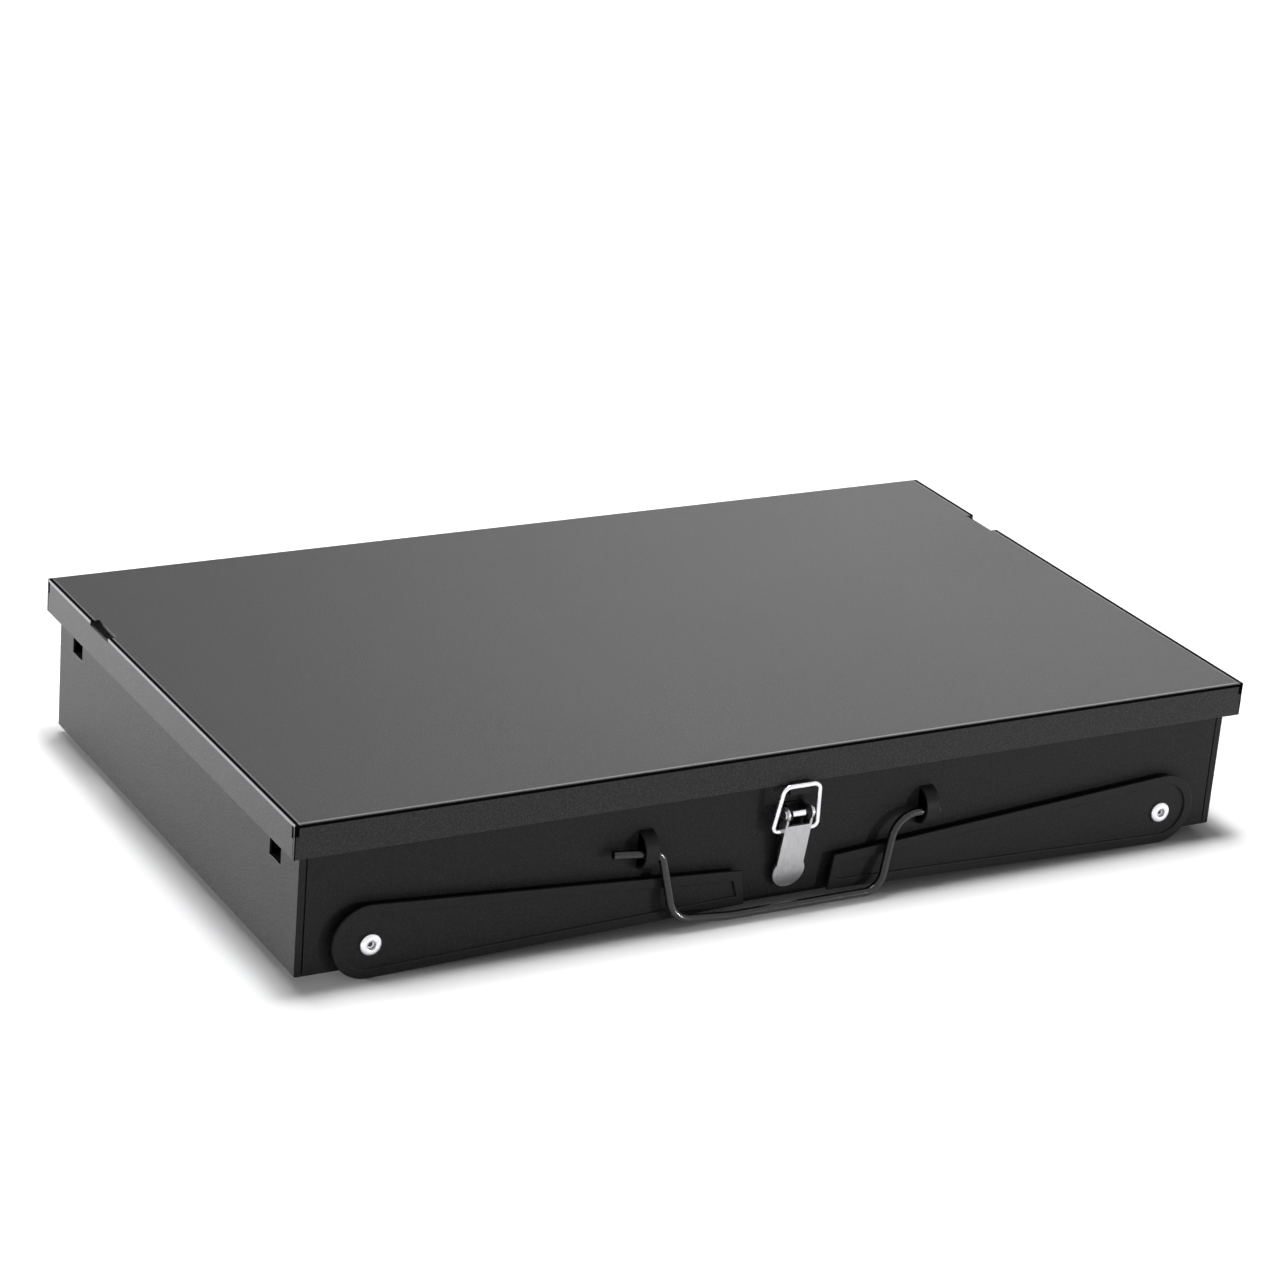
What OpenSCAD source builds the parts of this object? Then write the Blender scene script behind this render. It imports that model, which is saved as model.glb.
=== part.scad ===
// Briefcase grill: a shallow sheet-steel case with a hinged lid, a draw latch, a wire
// carrying handle and four riveted legs that fold flat along its front and back.
// Local frame of every part below: X to the right, Y to the back, Z up, with the origin
// on the underside of the tray, midway between its walls. seated() moves it to the frame
// of the whole part: Z = 0 is the surface that the folded leg ends stand on.

/* [Tray] */
// Outside width of the tray
tray_w = 430; // [380:1:520]
// Outside depth of the tray
tray_d = 251; // [220:1:320]
// Height of the tray walls
tray_h = 65.4; // [62:0.1:84]
// Thickness of the painted sheet
sheet = 1.0; // [0.8:0.1:1.2]
// Width of the lip folded in along the top of each wall
rim_lip = 6; // [4:0.5:8]
// How far each side wall wraps round onto the front and back
corner_wrap = 3; // [2:0.5:6]
// Width of the seam between a side wall's wrapped edge and the front or back
corner_seam = 0.5; // [0.3:0.1:1]
// Width of the side walls' welding flanges behind the front and back
corner_flange = 12; // [8:1:20]
// Width of the side walls' welding flanges on the floor
floor_flange = 9; // [6:1:10]

/* [Lid] */
// How far the lid stands out past the tray on each side
lid_overhang = 4.6; // [4:0.1:6]
// Height of the lid's folded edge
lid_skirt = 14.6; // [12:0.1:18]
// Gap between the lid and the tray rim that it rests over
lid_gap = 0.3; // [0.2:0.1:0.6]
// Width of the open seam at each lid corner
lid_seam = 0.4; // [0.3:0.1:0.8]
// Width of the relief notch at the top of each corner seam
notch_w = 1.7; // [1:0.1:3]
// Height of the relief notch
notch_h = 5; // [3:0.5:8]
// Length of the vent slot on each side of the lid
slot_l = 20; // [12:1:30]
// Distance from the back of the lid to the vent slot
slot_back = 50; // [40:1:70]
// Width of the vent slot in the top of the lid
slot_in = 4; // [3:0.5:6]
// How far the vent slot runs down the lid's edge
slot_down = 2; // [1:0.5:4]

/* [Grid and coals] */
// Width of each tab pressed in from the side walls
tab_w = 10.4; // [8:0.1:14]
// Height of the window that each tab leaves
window_h = 7; // [5:0.5:9]
// Length of each tab
tab_l = 9; // [8.5:0.5:12]
// Height of the tabs' top faces
tab_z = 40; // [34:0.5:44]
// Distance from the front to the middle of the front tabs
tab_front = 22; // [18:0.5:30]
// Distance from the back to the middle of the back tabs
tab_back = 20.5; // [18:0.5:30]
// Gap between the cooking grid and the rim lips
grid_gap = 1; // [0.5:0.1:2]
// Diameter of the grid's frame wire
grid_frame_d = 4; // [3:0.5:5]
// Diameter of the grid's rods
grid_rod_d = 2.6; // [2:0.1:3.5]
// Spacing of the grid's rods
grid_pitch = 13; // [11:0.5:20]
// Space between the coal grate and the side walls
grate_end_gap = 16; // [12:1:60]
// Space between the coal grate and the front and back walls
grate_gap = 13.5; // [6:0.5:50]
// Height of the coal grate
grate_z = 14; // [8:0.5:18]
// Length of each slot in the coal grate
grate_slot_l = 30; // [16:1:40]
// Width of each slot in the coal grate
grate_slot_w = 5; // [3:0.5:8]
// Spacing of the coal grate's slots across the width
grate_pitch_x = 44; // [42:1:60]
// Spacing of the coal grate's slots front to back
grate_pitch_y = 20; // [12:1:30]

/* [Legs] */
// Distance from the tray's end to a leg's rivet
leg_inset = 29.8; // [26:0.1:50]
// Space between the tips of a pair of folded legs
leg_tip_gap = 39; // [20:0.5:90]
// How far the tip's bottom corner reaches past its top corner
leg_tip_slant = 2.1; // [0:0.1:4]
// Height of the leg rivets above the tray's underside
leg_pivot_z = 11.0; // [10.4:0.1:13]
// Radius of the round end
leg_end_r = 15.7; // [15.2:0.1:17]
// How far the rivet sits toward the tip from the middle of the round end
leg_hole_in = 0.7; // [0:0.1:3]
// How far the rivet sits below the middle of the round end
leg_hole_down = 1.4; // [0:0.1:2]
// Height of the tip's top corner above the rivet
leg_tip_top = 5.5; // [3:0.1:7]
// Depth of the tip's bottom corner below the rivet
leg_tip_bottom = 9.7; // [6:0.1:11]
// Distance from the wall to the front of the leg's raised border
leg_face = 4.4; // [4:0.1:4.5]
// Thickness of the leg's sheet
leg_sheet = 1.2; // [0.8:0.1:1.3]
// Width of the raised border
leg_border = 4.2; // [3:0.1:6]
// How far the middle is pressed in behind the border
leg_dish = 0.9; // [0.6:0.1:1]
// Radius of the leg rivets' shanks
leg_rivet_r = 2.5; // [2:0.1:3]
// Radius of the leg rivets' heads
leg_head_r = 4.7; // [4:0.1:6]
// Height of the leg rivets' heads
leg_head_h = 1.7; // [1.2:0.1:1.8]
// Radius of the hollow in the heads
leg_hollow_r = 1.5; // [0.8:0.1:1.8]
// Radius of the spacer washers
washer_r = 7; // [5.5:0.1:9]

/* [Handle] */
// Distance between the two pressed-out bridges
bridge_span = 131.2; // [120:0.1:150]
// Width of each bridge
bridge_w = 6; // [4:0.5:7]
// Height of each bridge on the wall
bridge_h = 16.5; // [15:0.1:20]
// Thickness of the bridges, drawn thinner than the sheet
bridge_sheet = 1.0; // [0.8:0.1:1.2]
// Height of the bridges' middle above the handle's pivot line
bridge_rise = 1.0; // [0:0.1:1.2]
// Diameter of the handle wire
handle_d = 3.6; // [3:0.1:3.8]
// Height of the handle's pivot line above the tray's underside
handle_z = 30.4; // [29:0.1:34]
// Distance of the pivot line from the front wall
handle_out = 4.5; // [4.3:0.1:7]
// Drop from the pivot line to the middle of the grip
handle_drop = 30.4; // [24:0.1:31]
// Distance from the middle to the grip's left bend
grip_left = 55.4; // [46:0.2:56]
// How much higher the grip is at its left bend
grip_rise = 2.3; // [0:0.1:3]
// Distance from the middle to where the grip levels out
grip_knee = 30; // [20:1:36]
// Distance from the middle to the grip's right bend
grip_right = 41.4; // [36:0.2:46]
// Distance from the middle to the left arm's top bend
arm_left = 60; // [57:0.2:60.2]
// Distance from the middle to the right arm's top bend
arm_right = 49.8; // [47:0.2:55]
// Radius of the bends beside the grip
grip_bend = 9.5; // [6:0.5:10]
// Radius of the left arm's top bend
arm_bend_left = 4.6; // [4:0.1:5]
// Radius of the right arm's top bend
arm_bend_right = 13; // [6:0.5:14]
// Distance from the middle to the wire's left end
handle_left = 82; // [76:0.5:86]
// Distance from the middle to the wire's right end
handle_right = 70; // [69.5:0.5:76]
// How far the left end is bent up
tail_rise = 2.3; // [0:0.1:2.3]
// Angle at which the wire leans out, resting on the legs
handle_tilt = 10.5; // [10.5:0.1:14]

/* [Latch] */
// How far the latch sits to the right of the middle
latch_side = 0.9; // [-2:0.1:2]
// Drop from the top edges of the tray's walls to the latch's pin
latch_pin_drop = 26.1; // [25.4:0.1:27.4]
// Distance of the pivot pin from the front wall
latch_out = 5.8; // [5.6:0.1:7]
// Radius of the latch pin
latch_pin_r = 1.5; // [1:0.1:1.6]
// Radius of the base's two ears round the pin
latch_ear_r = 2.8; // [2.5:0.1:3]
// Angle at which the lever leans in toward the wall
lever_tilt = 10.5; // [6:0.5:10.5]
// Distance from the pin to the lever's front face
lever_face = 2.5; // [2.4:0.1:3]
// Width of the lever at its top
lever_w = 12.1; // [11.4:0.1:12.4]
// Width of the lever just above its round end
lever_low_w = 12.4; // [12.2:0.1:13.4]
// Radius of the lever's round end
lever_end_r = 7.3; // [6.9:0.1:8]
// Length of the lever from its pin to its tip
lever_l = 34.5; // [30:0.1:34.5]
// Distance from the pin down to the top edge of the lever's face
lever_top_drop = 4.5; // [4:0.1:5]
// Thickness of the latch's steel
latch_sheet = 1.2; // [0.9:0.1:1.2]
// Thickness of the lever's side cheeks
cheek_t = 1.0; // [0.8:0.1:1.2]
// Distance from the pin down to the loop's pivot
loop_drop = 7.9; // [7.4:0.1:8.4]
// Diameter of the loop wire
loop_d = 2.2; // [1.8:0.1:2.2]
// Width of the loop at its top bar, between the middles of its legs
loop_w = 16.4; // [15.4:0.1:17]
// Width of the loop at its feet, between the middles of its legs
loop_foot_w = 21; // [18:0.1:22]
// Length of the loop from its pivot to its top bar
loop_l = 20.8; // [20.6:0.1:21.4]
// Angle at which the loop leans out
loop_lean = 7.8; // [7.5:0.1:10]
// Bend radius of the loop's top corners
loop_corner = 3.4; // [2.5:0.1:4.5]
// Bend radius of the loop's bottom corners
loop_foot = 2.4; // [1.6:0.1:2.6]
// Width of the hook on the lid
hook_w = 9; // [7:0.1:10]
// Thickness of the hook's lip
hook_t = 1.0; // [0.8:0.05:1.1]
// Gap between the loop's top bar and the hook's lip
hook_gap = 0.35; // [0.3:0.05:0.5]
// Depth of the hook's underside below the lid's edge
hook_drop = 4.8; // [4:0.1:5]
// Height of the hook's lip above the lid's lower edge
hook_rise = 0.9; // [0.3:0.1:1.4]
// Height of the hook's plate inside the lid's edge
hook_plate = 9; // [6:0.5:10]

/* [Hinges] */
// Distance from the tray's end to the middle of a hinge
hinge_inset = 85; // [40:1:110]
// Width of each hinge
hinge_w = 44; // [36:1:60]
// Thickness of the hinge leaves
hinge_sheet = 1.0; // [0.8:0.1:1.2]
// Radius of the hinge knuckles
hinge_r = 2.4; // [2.2:0.1:2.6]
// Radius of the hinge pins
hinge_pin_r = 1.2; // [1:0.1:1.3]
// Gap between the knuckles' top and the lid's edge
hinge_under = 0.5; // [0.4:0.1:1]
// Height of the lower leaves on the wall
hinge_leaf_h = 15; // [13:0.5:16]
// Height of the upper leaves on the lid's edge
hinge_upper_h = 12; // [10:0.5:12]
// Length of the stop tongue behind each knuckle
hinge_stop = 5; // [4:0.1:6]

/* [Hidden] */

$fn = 48;

// Clearances and small fixed sizes
shaft_gap = 0.05;       // between a pin or shank and its hole, on the radius
face_gap = 0.05;        // between faces that slide on each other
side_gap = 0.4;         // between parts that pass each other sideways
over = 1;               // how far a cutter runs past what it cuts
rivet_r = 1.6;          // shanks of the small rivets
rivet_head_r = 2.9;     // heads of the small rivets
rivet_head_h = 1.0;     // height of the small rivets' heads
rivet_tail = 0.8;       // thickness of the small rivets' upset ends
pin_head_r = 2.2;       // peened ends of the latch pin
pin_head_t = 0.7;       // thickness of those ends
wire_play = 0.3;        // between the handle wire and its bridge
knee_bend = 40;         // radius of the bend where the grip levels out
wire_lap = 0.3;         // how far a straight wire runs into a bend
edge_lap = 0.03;        // how far the legs' straight edges run inside their round end
wire_swell = 0.03;      // how much thicker the bends are than the straights

// Colours
paint = [0.16, 0.16, 0.17];
gloss_paint = [0.05, 0.05, 0.05];
steel = [0.66, 0.66, 0.67];
chrome = [0.85, 0.85, 0.86];
blackened = [0.10, 0.10, 0.10];

// Tray and lid
stand_z = leg_end_r - leg_pivot_z - leg_hole_down;
lid_z = tray_h + lid_gap;
lid_top = lid_z + sheet;
skirt_z = lid_top - lid_skirt;
lid_w = tray_w + 2 * lid_overhang;
lid_d = tray_d + 2 * lid_overhang;
inner_x = tray_w / 2 - sheet;
inner_y = tray_d / 2 - sheet;
grate_w = 2 * (inner_x - grate_end_gap);
grate_d = 2 * (inner_y - grate_gap);
hinge_span = tray_w - 2 * hinge_inset;

// Legs
leg_span = tray_w - 2 * leg_inset;
leg_length = (leg_span - leg_tip_gap) / 2;
leg_floor = leg_face - leg_dish;
washer_t = leg_floor - leg_sheet - face_gap;
head_base = leg_floor + face_gap;

// Handle
bridge_out = handle_out + handle_d / 2 + wire_play + bridge_sheet;
bridge_z = handle_z + bridge_rise;
bridge_r = (pow(bridge_h / 2, 2) + pow(bridge_out, 2)) / (2 * bridge_out);

// Latch
loop_out = latch_out - loop_drop * sin(lever_tilt);
latch_pin_z = tray_h - latch_pin_drop;
loop_z = latch_pin_z - loop_drop * cos(lever_tilt);
loop_bar_out = loop_out + loop_l * sin(loop_lean);
hook_out = loop_bar_out - loop_d / 2 - hook_gap;
hook_z = skirt_z - hook_drop;
cheek_in = lever_w / 2 - cheek_t;
base_w = 2 * (cheek_in - side_gap);
loop_end_x = cheek_in - 0.3;
base_low_z = 16;
base_high_z = latch_pin_z + latch_ear_r;
base_rivet_z = [20, 28.5];

// Hinges, measured behind the tray's back face
hinge_out = lid_overhang + hinge_r;
hinge_z = skirt_z - hinge_r - hinge_under;
knuckle_l = (hinge_w - 2 * side_gap) / 3;
hinge_rivet_x = hinge_w / 2 - 8;
lower_rivet_z = hinge_z - 10.5;
upper_rivet_z = skirt_z + 7;

// The part's box is centred on the origin front to back
front_reach = max(handle_out + handle_drop * sin(handle_tilt) + handle_d / 2,
                  loop_bar_out + loop_d / 2, latch_out + lever_face);
rear_reach = max(hinge_out + max(hinge_r, hinge_stop), head_base + leg_head_h);
shift_y = (front_reach - rear_reach) / 2;

// ---------------------------------------------------------------- placing

// From the tray's own frame to the frame of the whole part
module seated() {
    translate([0, shift_y, stand_z]) children();
}

// Draws on the front wall: local X is X, local Y is up, local Z stands out from the wall
module on_front() {
    translate([0, -tray_d / 2, 0]) rotate([90, 0, 0]) children();
}

// The same on the back wall
module on_rear() {
    mirror([0, 1, 0]) on_front() children();
}

// Draws an outline in the plane [out from the wall, up] and runs it along X for a width
module along_x(width) {
    rotate([0, 0, -90]) rotate([90, 0, 0]) translate([0, 0, -width / 2])
        linear_extrude(width) children();
}

// Moves the outlines of along_x() onto the front wall
module from_front() {
    translate([0, -tray_d / 2, 0]) children();
}

// The same on the back wall
module from_rear() {
    mirror([0, 1, 0]) from_front() children();
}

// A block between two corners
module block(low, high) {
    translate(low) cube(high - low);
}

// A domed rivet: its head's underside is at Z = 0 and its shank runs down to a tail
module small_rivet(grip) {
    head_curve = (pow(rivet_head_r, 2) + pow(rivet_head_h, 2)) / (2 * rivet_head_h);
    intersection() {
        translate([0, 0, rivet_head_h - head_curve]) sphere(head_curve);
        cylinder(r = rivet_head_r + over, h = rivet_head_h + over);
    }
    translate([0, 0, -grip]) cylinder(r = rivet_r, h = grip);
    translate([0, 0, -grip - rivet_tail]) cylinder(r = rivet_head_r - 0.5, h = rivet_tail);
}

// A hole for a small rivet
module small_rivet_hole() {
    translate([0, 0, -2 * over - sheet]) cylinder(r = rivet_r + shaft_gap, h = 12 * over);
}

// ---------------------------------------------------------------- tray

module leg_spots() {
    for (side = [-1, 1]) translate([side * leg_span / 2, leg_pivot_z, 0]) children();
}

module bridge_spots() {
    for (side = [-1, 1]) translate([side * bridge_span / 2, 0, 0]) children();
}

module hinge_spots(side) {
    translate([side * hinge_span / 2, 0, 0]) children();
}

module hinge_rivet_spots(height) {
    for (side = [-1, 1]) translate([side * hinge_rivet_x, height, 0]) children();
}

// One bridge pressed out of the front wall, over the handle wire's path
module bridge() {
    from_front() along_x(bridge_w) intersection() {
        translate([bridge_out - bridge_r, bridge_z]) difference() {
            circle(bridge_r);
            circle(bridge_r - bridge_sheet);
        }
        translate([-sheet, bridge_z - bridge_h]) square([2 * bridge_h, 2 * bridge_h]);
    }
}

module tray_pan() color(paint) seated() {
    difference() {
        union() {
            block([-inner_x, -tray_d / 2, 0], [inner_x, tray_d / 2, sheet]);
            for (end = [0, 1]) mirror([0, end, 0]) {
                wall_x = tray_w / 2 - corner_wrap - corner_seam;
                block([-wall_x, -tray_d / 2, 0], [wall_x, -inner_y, tray_h]);
                block([-wall_x, -tray_d / 2, tray_h - sheet],
                      [wall_x, -tray_d / 2 + rim_lip, tray_h]);
            }
        }
        for (end = [0, 1]) mirror([0, end, 0]) on_front() leg_spots()
            translate([0, 0, -2 * sheet]) cylinder(r = leg_rivet_r + shaft_gap, h = 4 * sheet);
        on_front() bridge_spots() translate([0, bridge_z, 0])
            cube([bridge_w, bridge_h - 2 * bridge_sheet, 4 * sheet], center = true);
        at_latch() on_front() for (z = base_rivet_z) translate([0, z, 0]) small_rivet_hole();
        on_rear() for (side = [-1, 1]) hinge_spots(side)
            hinge_rivet_spots(lower_rivet_z) small_rivet_hole();
    }
    bridge_spots() bridge();
}

// One side wall, drawn for the right-hand side
module side_wall() {
    difference() {
        union() {
            block([inner_x, -tray_d / 2, 0], [tray_w / 2, tray_d / 2, tray_h]);
            block([tray_w / 2 - rim_lip, -tray_d / 2 + rim_lip, tray_h - sheet],
                  [tray_w / 2, tray_d / 2 - rim_lip, tray_h]);
            block([inner_x - floor_flange, -inner_y + sheet, sheet],
                  [tray_w / 2, inner_y - sheet, 2 * sheet]);
            for (end = [0, 1]) mirror([0, end, 0]) {
                wrap_x = tray_w / 2 - corner_wrap;
                block([wrap_x, -tray_d / 2, sheet], [tray_w / 2, -inner_y, tray_h]);
                block([wrap_x - corner_flange, -inner_y, sheet],
                      [tray_w / 2, -inner_y + sheet, tray_h - sheet]);
            }
        }
        tab_spots() translate([-over, -tab_w / 2, tab_z]) cube([3 * over, tab_w, window_h]);
    }
    tab_spots() translate([-tab_l, -tab_w / 2, tab_z - sheet]) cube([tab_l, tab_w, sheet]);
}

// The inner face of the right-hand wall at the middle of each tab
module tab_spots() {
    for (y = [-tray_d / 2 + tab_front, tray_d / 2 - tab_back])
        translate([inner_x, y, 0]) children();
}

module side_wall_left() color(paint) seated() mirror([1, 0, 0]) side_wall();

module side_wall_right() color(paint) seated() side_wall();

// ---------------------------------------------------------------- grate and grid

module coal_grate() color(blackened) seated() {
    count_x = floor((grate_w - grate_slot_l - 16) / grate_pitch_x);
    count_y = floor((grate_d - grate_slot_w - 16) / grate_pitch_y);
    difference() {
        union() {
            block([-grate_w / 2, -grate_d / 2, grate_z - sheet],
                  [grate_w / 2, grate_d / 2, grate_z]);
            for (side = [0, 1]) mirror([0, side, 0])
                block([-grate_w / 2, -grate_d / 2, sheet],
                      [grate_w / 2, -grate_d / 2 + sheet, grate_z]);
        }
        for (i = [0 : count_x], j = [0 : count_y])
            translate([(i - count_x / 2) * grate_pitch_x, (j - count_y / 2) * grate_pitch_y,
                       grate_z - sheet / 2])
                cube([grate_slot_l, grate_slot_w, 3 * sheet], center = true);
    }
}

module cooking_grid() color(steel) seated() {
    frame_x = tray_w / 2 - rim_lip - grid_gap - grid_frame_d / 2;
    frame_y = tray_d / 2 - rim_lip - grid_gap - grid_frame_d / 2;
    count = floor(2 * (frame_x - grid_frame_d) / grid_pitch);
    translate([0, 0, tab_z + grid_frame_d / 2 + face_gap]) {
        for (side = [-1, 1]) {
            translate([side * frame_x, 0, 0]) rotate([90, 0, 0])
                cylinder(d = grid_frame_d, h = 2 * frame_y, center = true);
            translate([0, side * frame_y, 0]) rotate([0, 90, 0])
                cylinder(d = grid_frame_d, h = 2 * frame_x, center = true);
            for (end = [-1, 1]) translate([side * frame_x, end * frame_y, 0])
                sphere(d = grid_frame_d);
            translate([0, side * frame_y / 2, -grid_rod_d * 0.7]) rotate([0, 90, 0])
                cylinder(d = grid_rod_d, h = 2 * frame_x, center = true);
        }
        for (i = [0 : count]) translate([(i - count / 2) * grid_pitch, 0, 0])
            rotate([90, 0, 0]) cylinder(d = grid_rod_d, h = 2 * frame_y, center = true);
    }
}

// ---------------------------------------------------------------- legs

// Where a line from the point touches a circle of radius r round the origin;
// side is 1 for the line over the circle and -1 for the line under it
function touch(point, r, side) =
    let (a = atan2(point[1], point[0]) + side * acos(r / norm(point)))
    [r * cos(a), r * sin(a)];

// The leg's outline, drawn in by a margin, with the rivet at the origin and the tip at +X
module leg_outline(margin) translate([-leg_hole_in, leg_hole_down]) {
    r = leg_end_r - margin;
    reach = leg_length + leg_hole_in - margin;
    top = [reach - leg_tip_slant, leg_tip_top - leg_hole_down - margin];
    bottom = [reach, margin - leg_tip_bottom - leg_hole_down];
    circle(r, $fn = 96);
    polygon([[0, 0], touch(bottom, r - edge_lap, -1), bottom, top, touch(top, r - edge_lap, 1)]);
}

// A pressed leg: a raised border all round, and a middle pressed in behind it
module leg_blank() {
    difference() {
        translate([0, 0, leg_floor - leg_sheet]) linear_extrude(leg_sheet + leg_dish)
            leg_outline(0);
        translate([0, 0, leg_floor - leg_sheet - over]) linear_extrude(leg_dish + over)
            difference() {
                translate([-2 * leg_end_r, -2 * leg_end_r])
                    square([leg_length + 4 * leg_end_r, 4 * leg_end_r]);
                leg_outline(leg_border - leg_sheet);
            }
        translate([0, 0, leg_floor]) linear_extrude(leg_dish + over) leg_outline(leg_border);
        translate([0, 0, -over]) cylinder(r = leg_rivet_r + shaft_gap, h = leg_face + 2 * over);
    }
}

// The leg at the left of its wall; side 1 turns it over for the right
module leg(side) {
    mirror([side, 0, 0]) translate([-leg_span / 2, leg_pivot_z, 0]) leg_blank();
}

module leg_front_left() color(paint) seated() on_front() leg(0);

module leg_front_right() color(paint) seated() on_front() leg(1);

module leg_rear_left() color(paint) seated() on_rear() leg(0);

module leg_rear_right() color(paint) seated() on_rear() leg(1);

// A hollow rivet that holds a leg, with its tail inside the tray
module leg_rivet(side) {
    tail_t = 1.2;
    cap_r = leg_head_r - 0.9;
    mirror([side, 0, 0]) translate([-leg_span / 2, leg_pivot_z, 0]) difference() {
        union() {
            translate([0, 0, head_base]) cylinder(r = leg_head_r, h = leg_head_h - 0.6);
            translate([0, 0, head_base]) cylinder(r = cap_r, h = leg_head_h);
            translate([0, 0, -sheet]) cylinder(r = leg_rivet_r, h = head_base + sheet + 0.1);
            translate([0, 0, -sheet - tail_t]) cylinder(r = leg_head_r, h = tail_t);
        }
        translate([0, 0, head_base]) cylinder(r = leg_hollow_r, h = leg_head_h + over);
    }
}

module leg_rivet_front_left() color(chrome) seated() on_front() leg_rivet(0);

module leg_rivet_front_right() color(chrome) seated() on_front() leg_rivet(1);

module leg_rivet_rear_left() color(chrome) seated() on_rear() leg_rivet(0);

module leg_rivet_rear_right() color(chrome) seated() on_rear() leg_rivet(1);

// The spacer between a leg's middle and the wall
module leg_washer(side) {
    mirror([side, 0, 0]) translate([-leg_span / 2, leg_pivot_z, 0]) difference() {
        cylinder(r = washer_r, h = washer_t);
        translate([0, 0, -over]) cylinder(r = leg_rivet_r + shaft_gap, h = washer_t + 2 * over);
    }
}

module leg_washer_front_left() color(steel) seated() on_front() leg_washer(0);

module leg_washer_front_right() color(steel) seated() on_front() leg_washer(1);

module leg_washer_rear_left() color(steel) seated() on_rear() leg_washer(0);

module leg_washer_rear_right() color(steel) seated() on_rear() leg_washer(1);

// ---------------------------------------------------------------- lid

module lid_shell() color(paint) seated() {
    outer = [lid_w / 2, lid_d / 2];
    difference() {
        block([-outer[0], -outer[1], skirt_z], [outer[0], outer[1], lid_top]);
        block([-outer[0] + sheet, -outer[1] + sheet, skirt_z - over],
              [outer[0] - sheet, outer[1] - sheet, lid_z]);
        for (side = [0, 1], end = [0, 1]) mirror([side, 0, 0]) mirror([0, end, 0]) {
            block([-outer[0] - over, -outer[1] + sheet, skirt_z - over],
                  [-outer[0] + sheet + over, -outer[1] + sheet + lid_seam, lid_z - notch_h / 2]);
            block([-outer[0] - over, -outer[1] + sheet, lid_z - notch_h],
                  [-outer[0] + sheet + over, -outer[1] + sheet + notch_w, lid_z]);
        }
        for (side = [0, 1]) mirror([side, 0, 0])
            block([-outer[0] - over, outer[1] - slot_back - slot_l, lid_top - slot_down],
                  [-outer[0] + slot_in, outer[1] - slot_back, lid_top + over]);
        on_rear() for (side = [-1, 1]) hinge_spots(side) hinge_rivet_spots(upper_rivet_z)
            translate([0, 0, lid_overhang]) small_rivet_hole();
    }
}

// The hook under the lid's front edge, welded to the inside of the edge
module latch_keeper() color(paint) seated() at_latch() {
    plate_out = lid_overhang - sheet;
    from_front() along_x(hook_w) {
        translate([plate_out - latch_sheet, hook_z])
            square([latch_sheet, hook_drop + hook_plate]);
        translate([plate_out - latch_sheet, hook_z])
            square([hook_out - plate_out + latch_sheet, latch_sheet]);
        translate([hook_out - hook_t, hook_z])
            square([hook_t, hook_drop + hook_rise]);
    }
}

// ---------------------------------------------------------------- hinges

// The part of a hinge's width that a leaf's own knuckles take: 1 in the middle, 0 outside
module knuckle_bands(middle, margin) {
    if (middle == 1) {
        cube([knuckle_l + 2 * margin, 8 * hinge_w, 8 * hinge_w], center = true);
    } else {
        for (side = [-1, 1]) translate([side * (knuckle_l + side_gap), 0, 0])
            cube([knuckle_l + 2 * margin, 8 * hinge_w, 8 * hinge_w], center = true);
    }
}

// The lower leaf: on the wall, out under the lid's edge, round the pin, and a stop tongue
module hinge_leaf_lower(side) {
    hinge_spots(side) difference() {
        from_rear() along_x(hinge_w) difference() {
            union() {
                translate([0, hinge_z - hinge_r + hinge_sheet - hinge_leaf_h])
                    square([hinge_sheet, hinge_leaf_h]);
                translate([0, hinge_z - hinge_r])
                    square([hinge_out + hinge_stop, hinge_sheet]);
                translate([hinge_out, hinge_z]) circle(hinge_r);
            }
            translate([hinge_out, hinge_z]) circle(hinge_pin_r + shaft_gap);
        }
        intersection() {
            knuckle_bands(1, side_gap);
            from_rear() translate([0, -hinge_out - hinge_r - hinge_stop, hinge_z])
                cube([2 * hinge_w, 2 * (2 * hinge_r + hinge_stop + side_gap), 4 * hinge_r],
                     center = true);
        }
        on_rear() hinge_rivet_spots(lower_rivet_z) small_rivet_hole();
    }
}

// The upper leaf: flat on the lid's edge, with the middle knuckle
module hinge_leaf_upper(side) {
    hinge_spots(side) difference() {
        union() {
            from_rear() along_x(hinge_w) translate([lid_overhang, hinge_z + hinge_r + side_gap])
                square([hinge_sheet, hinge_upper_h]);
            from_rear() along_x(knuckle_l) {
                translate([lid_overhang, hinge_z]) square([hinge_sheet, 2 * hinge_r]);
                translate([hinge_out, hinge_z]) circle(hinge_r);
            }
        }
        from_rear() along_x(2 * hinge_w)
            translate([hinge_out, hinge_z]) circle(hinge_pin_r + shaft_gap);
        on_rear() hinge_rivet_spots(upper_rivet_z)
            translate([0, 0, lid_overhang]) small_rivet_hole();
    }
}

module hinge_leaf_lower_left() color(steel) seated() hinge_leaf_lower(-1);

module hinge_leaf_lower_right() color(steel) seated() hinge_leaf_lower(1);

module hinge_leaf_upper_left() color(steel) seated() hinge_leaf_upper(-1);

module hinge_leaf_upper_right() color(steel) seated() hinge_leaf_upper(1);

module hinge_pin(side) {
    hinge_spots(side) from_rear() along_x(hinge_w + 1)
        translate([hinge_out, hinge_z]) circle(hinge_pin_r);
}

module hinge_pin_left() color(steel) seated() hinge_pin(-1);

module hinge_pin_right() color(steel) seated() hinge_pin(1);

module hinge_lower_rivets() color(steel) seated() on_rear()
    for (side = [-1, 1]) hinge_spots(side) hinge_rivet_spots(lower_rivet_z)
        translate([0, 0, hinge_sheet]) small_rivet(hinge_sheet + sheet);

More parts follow.
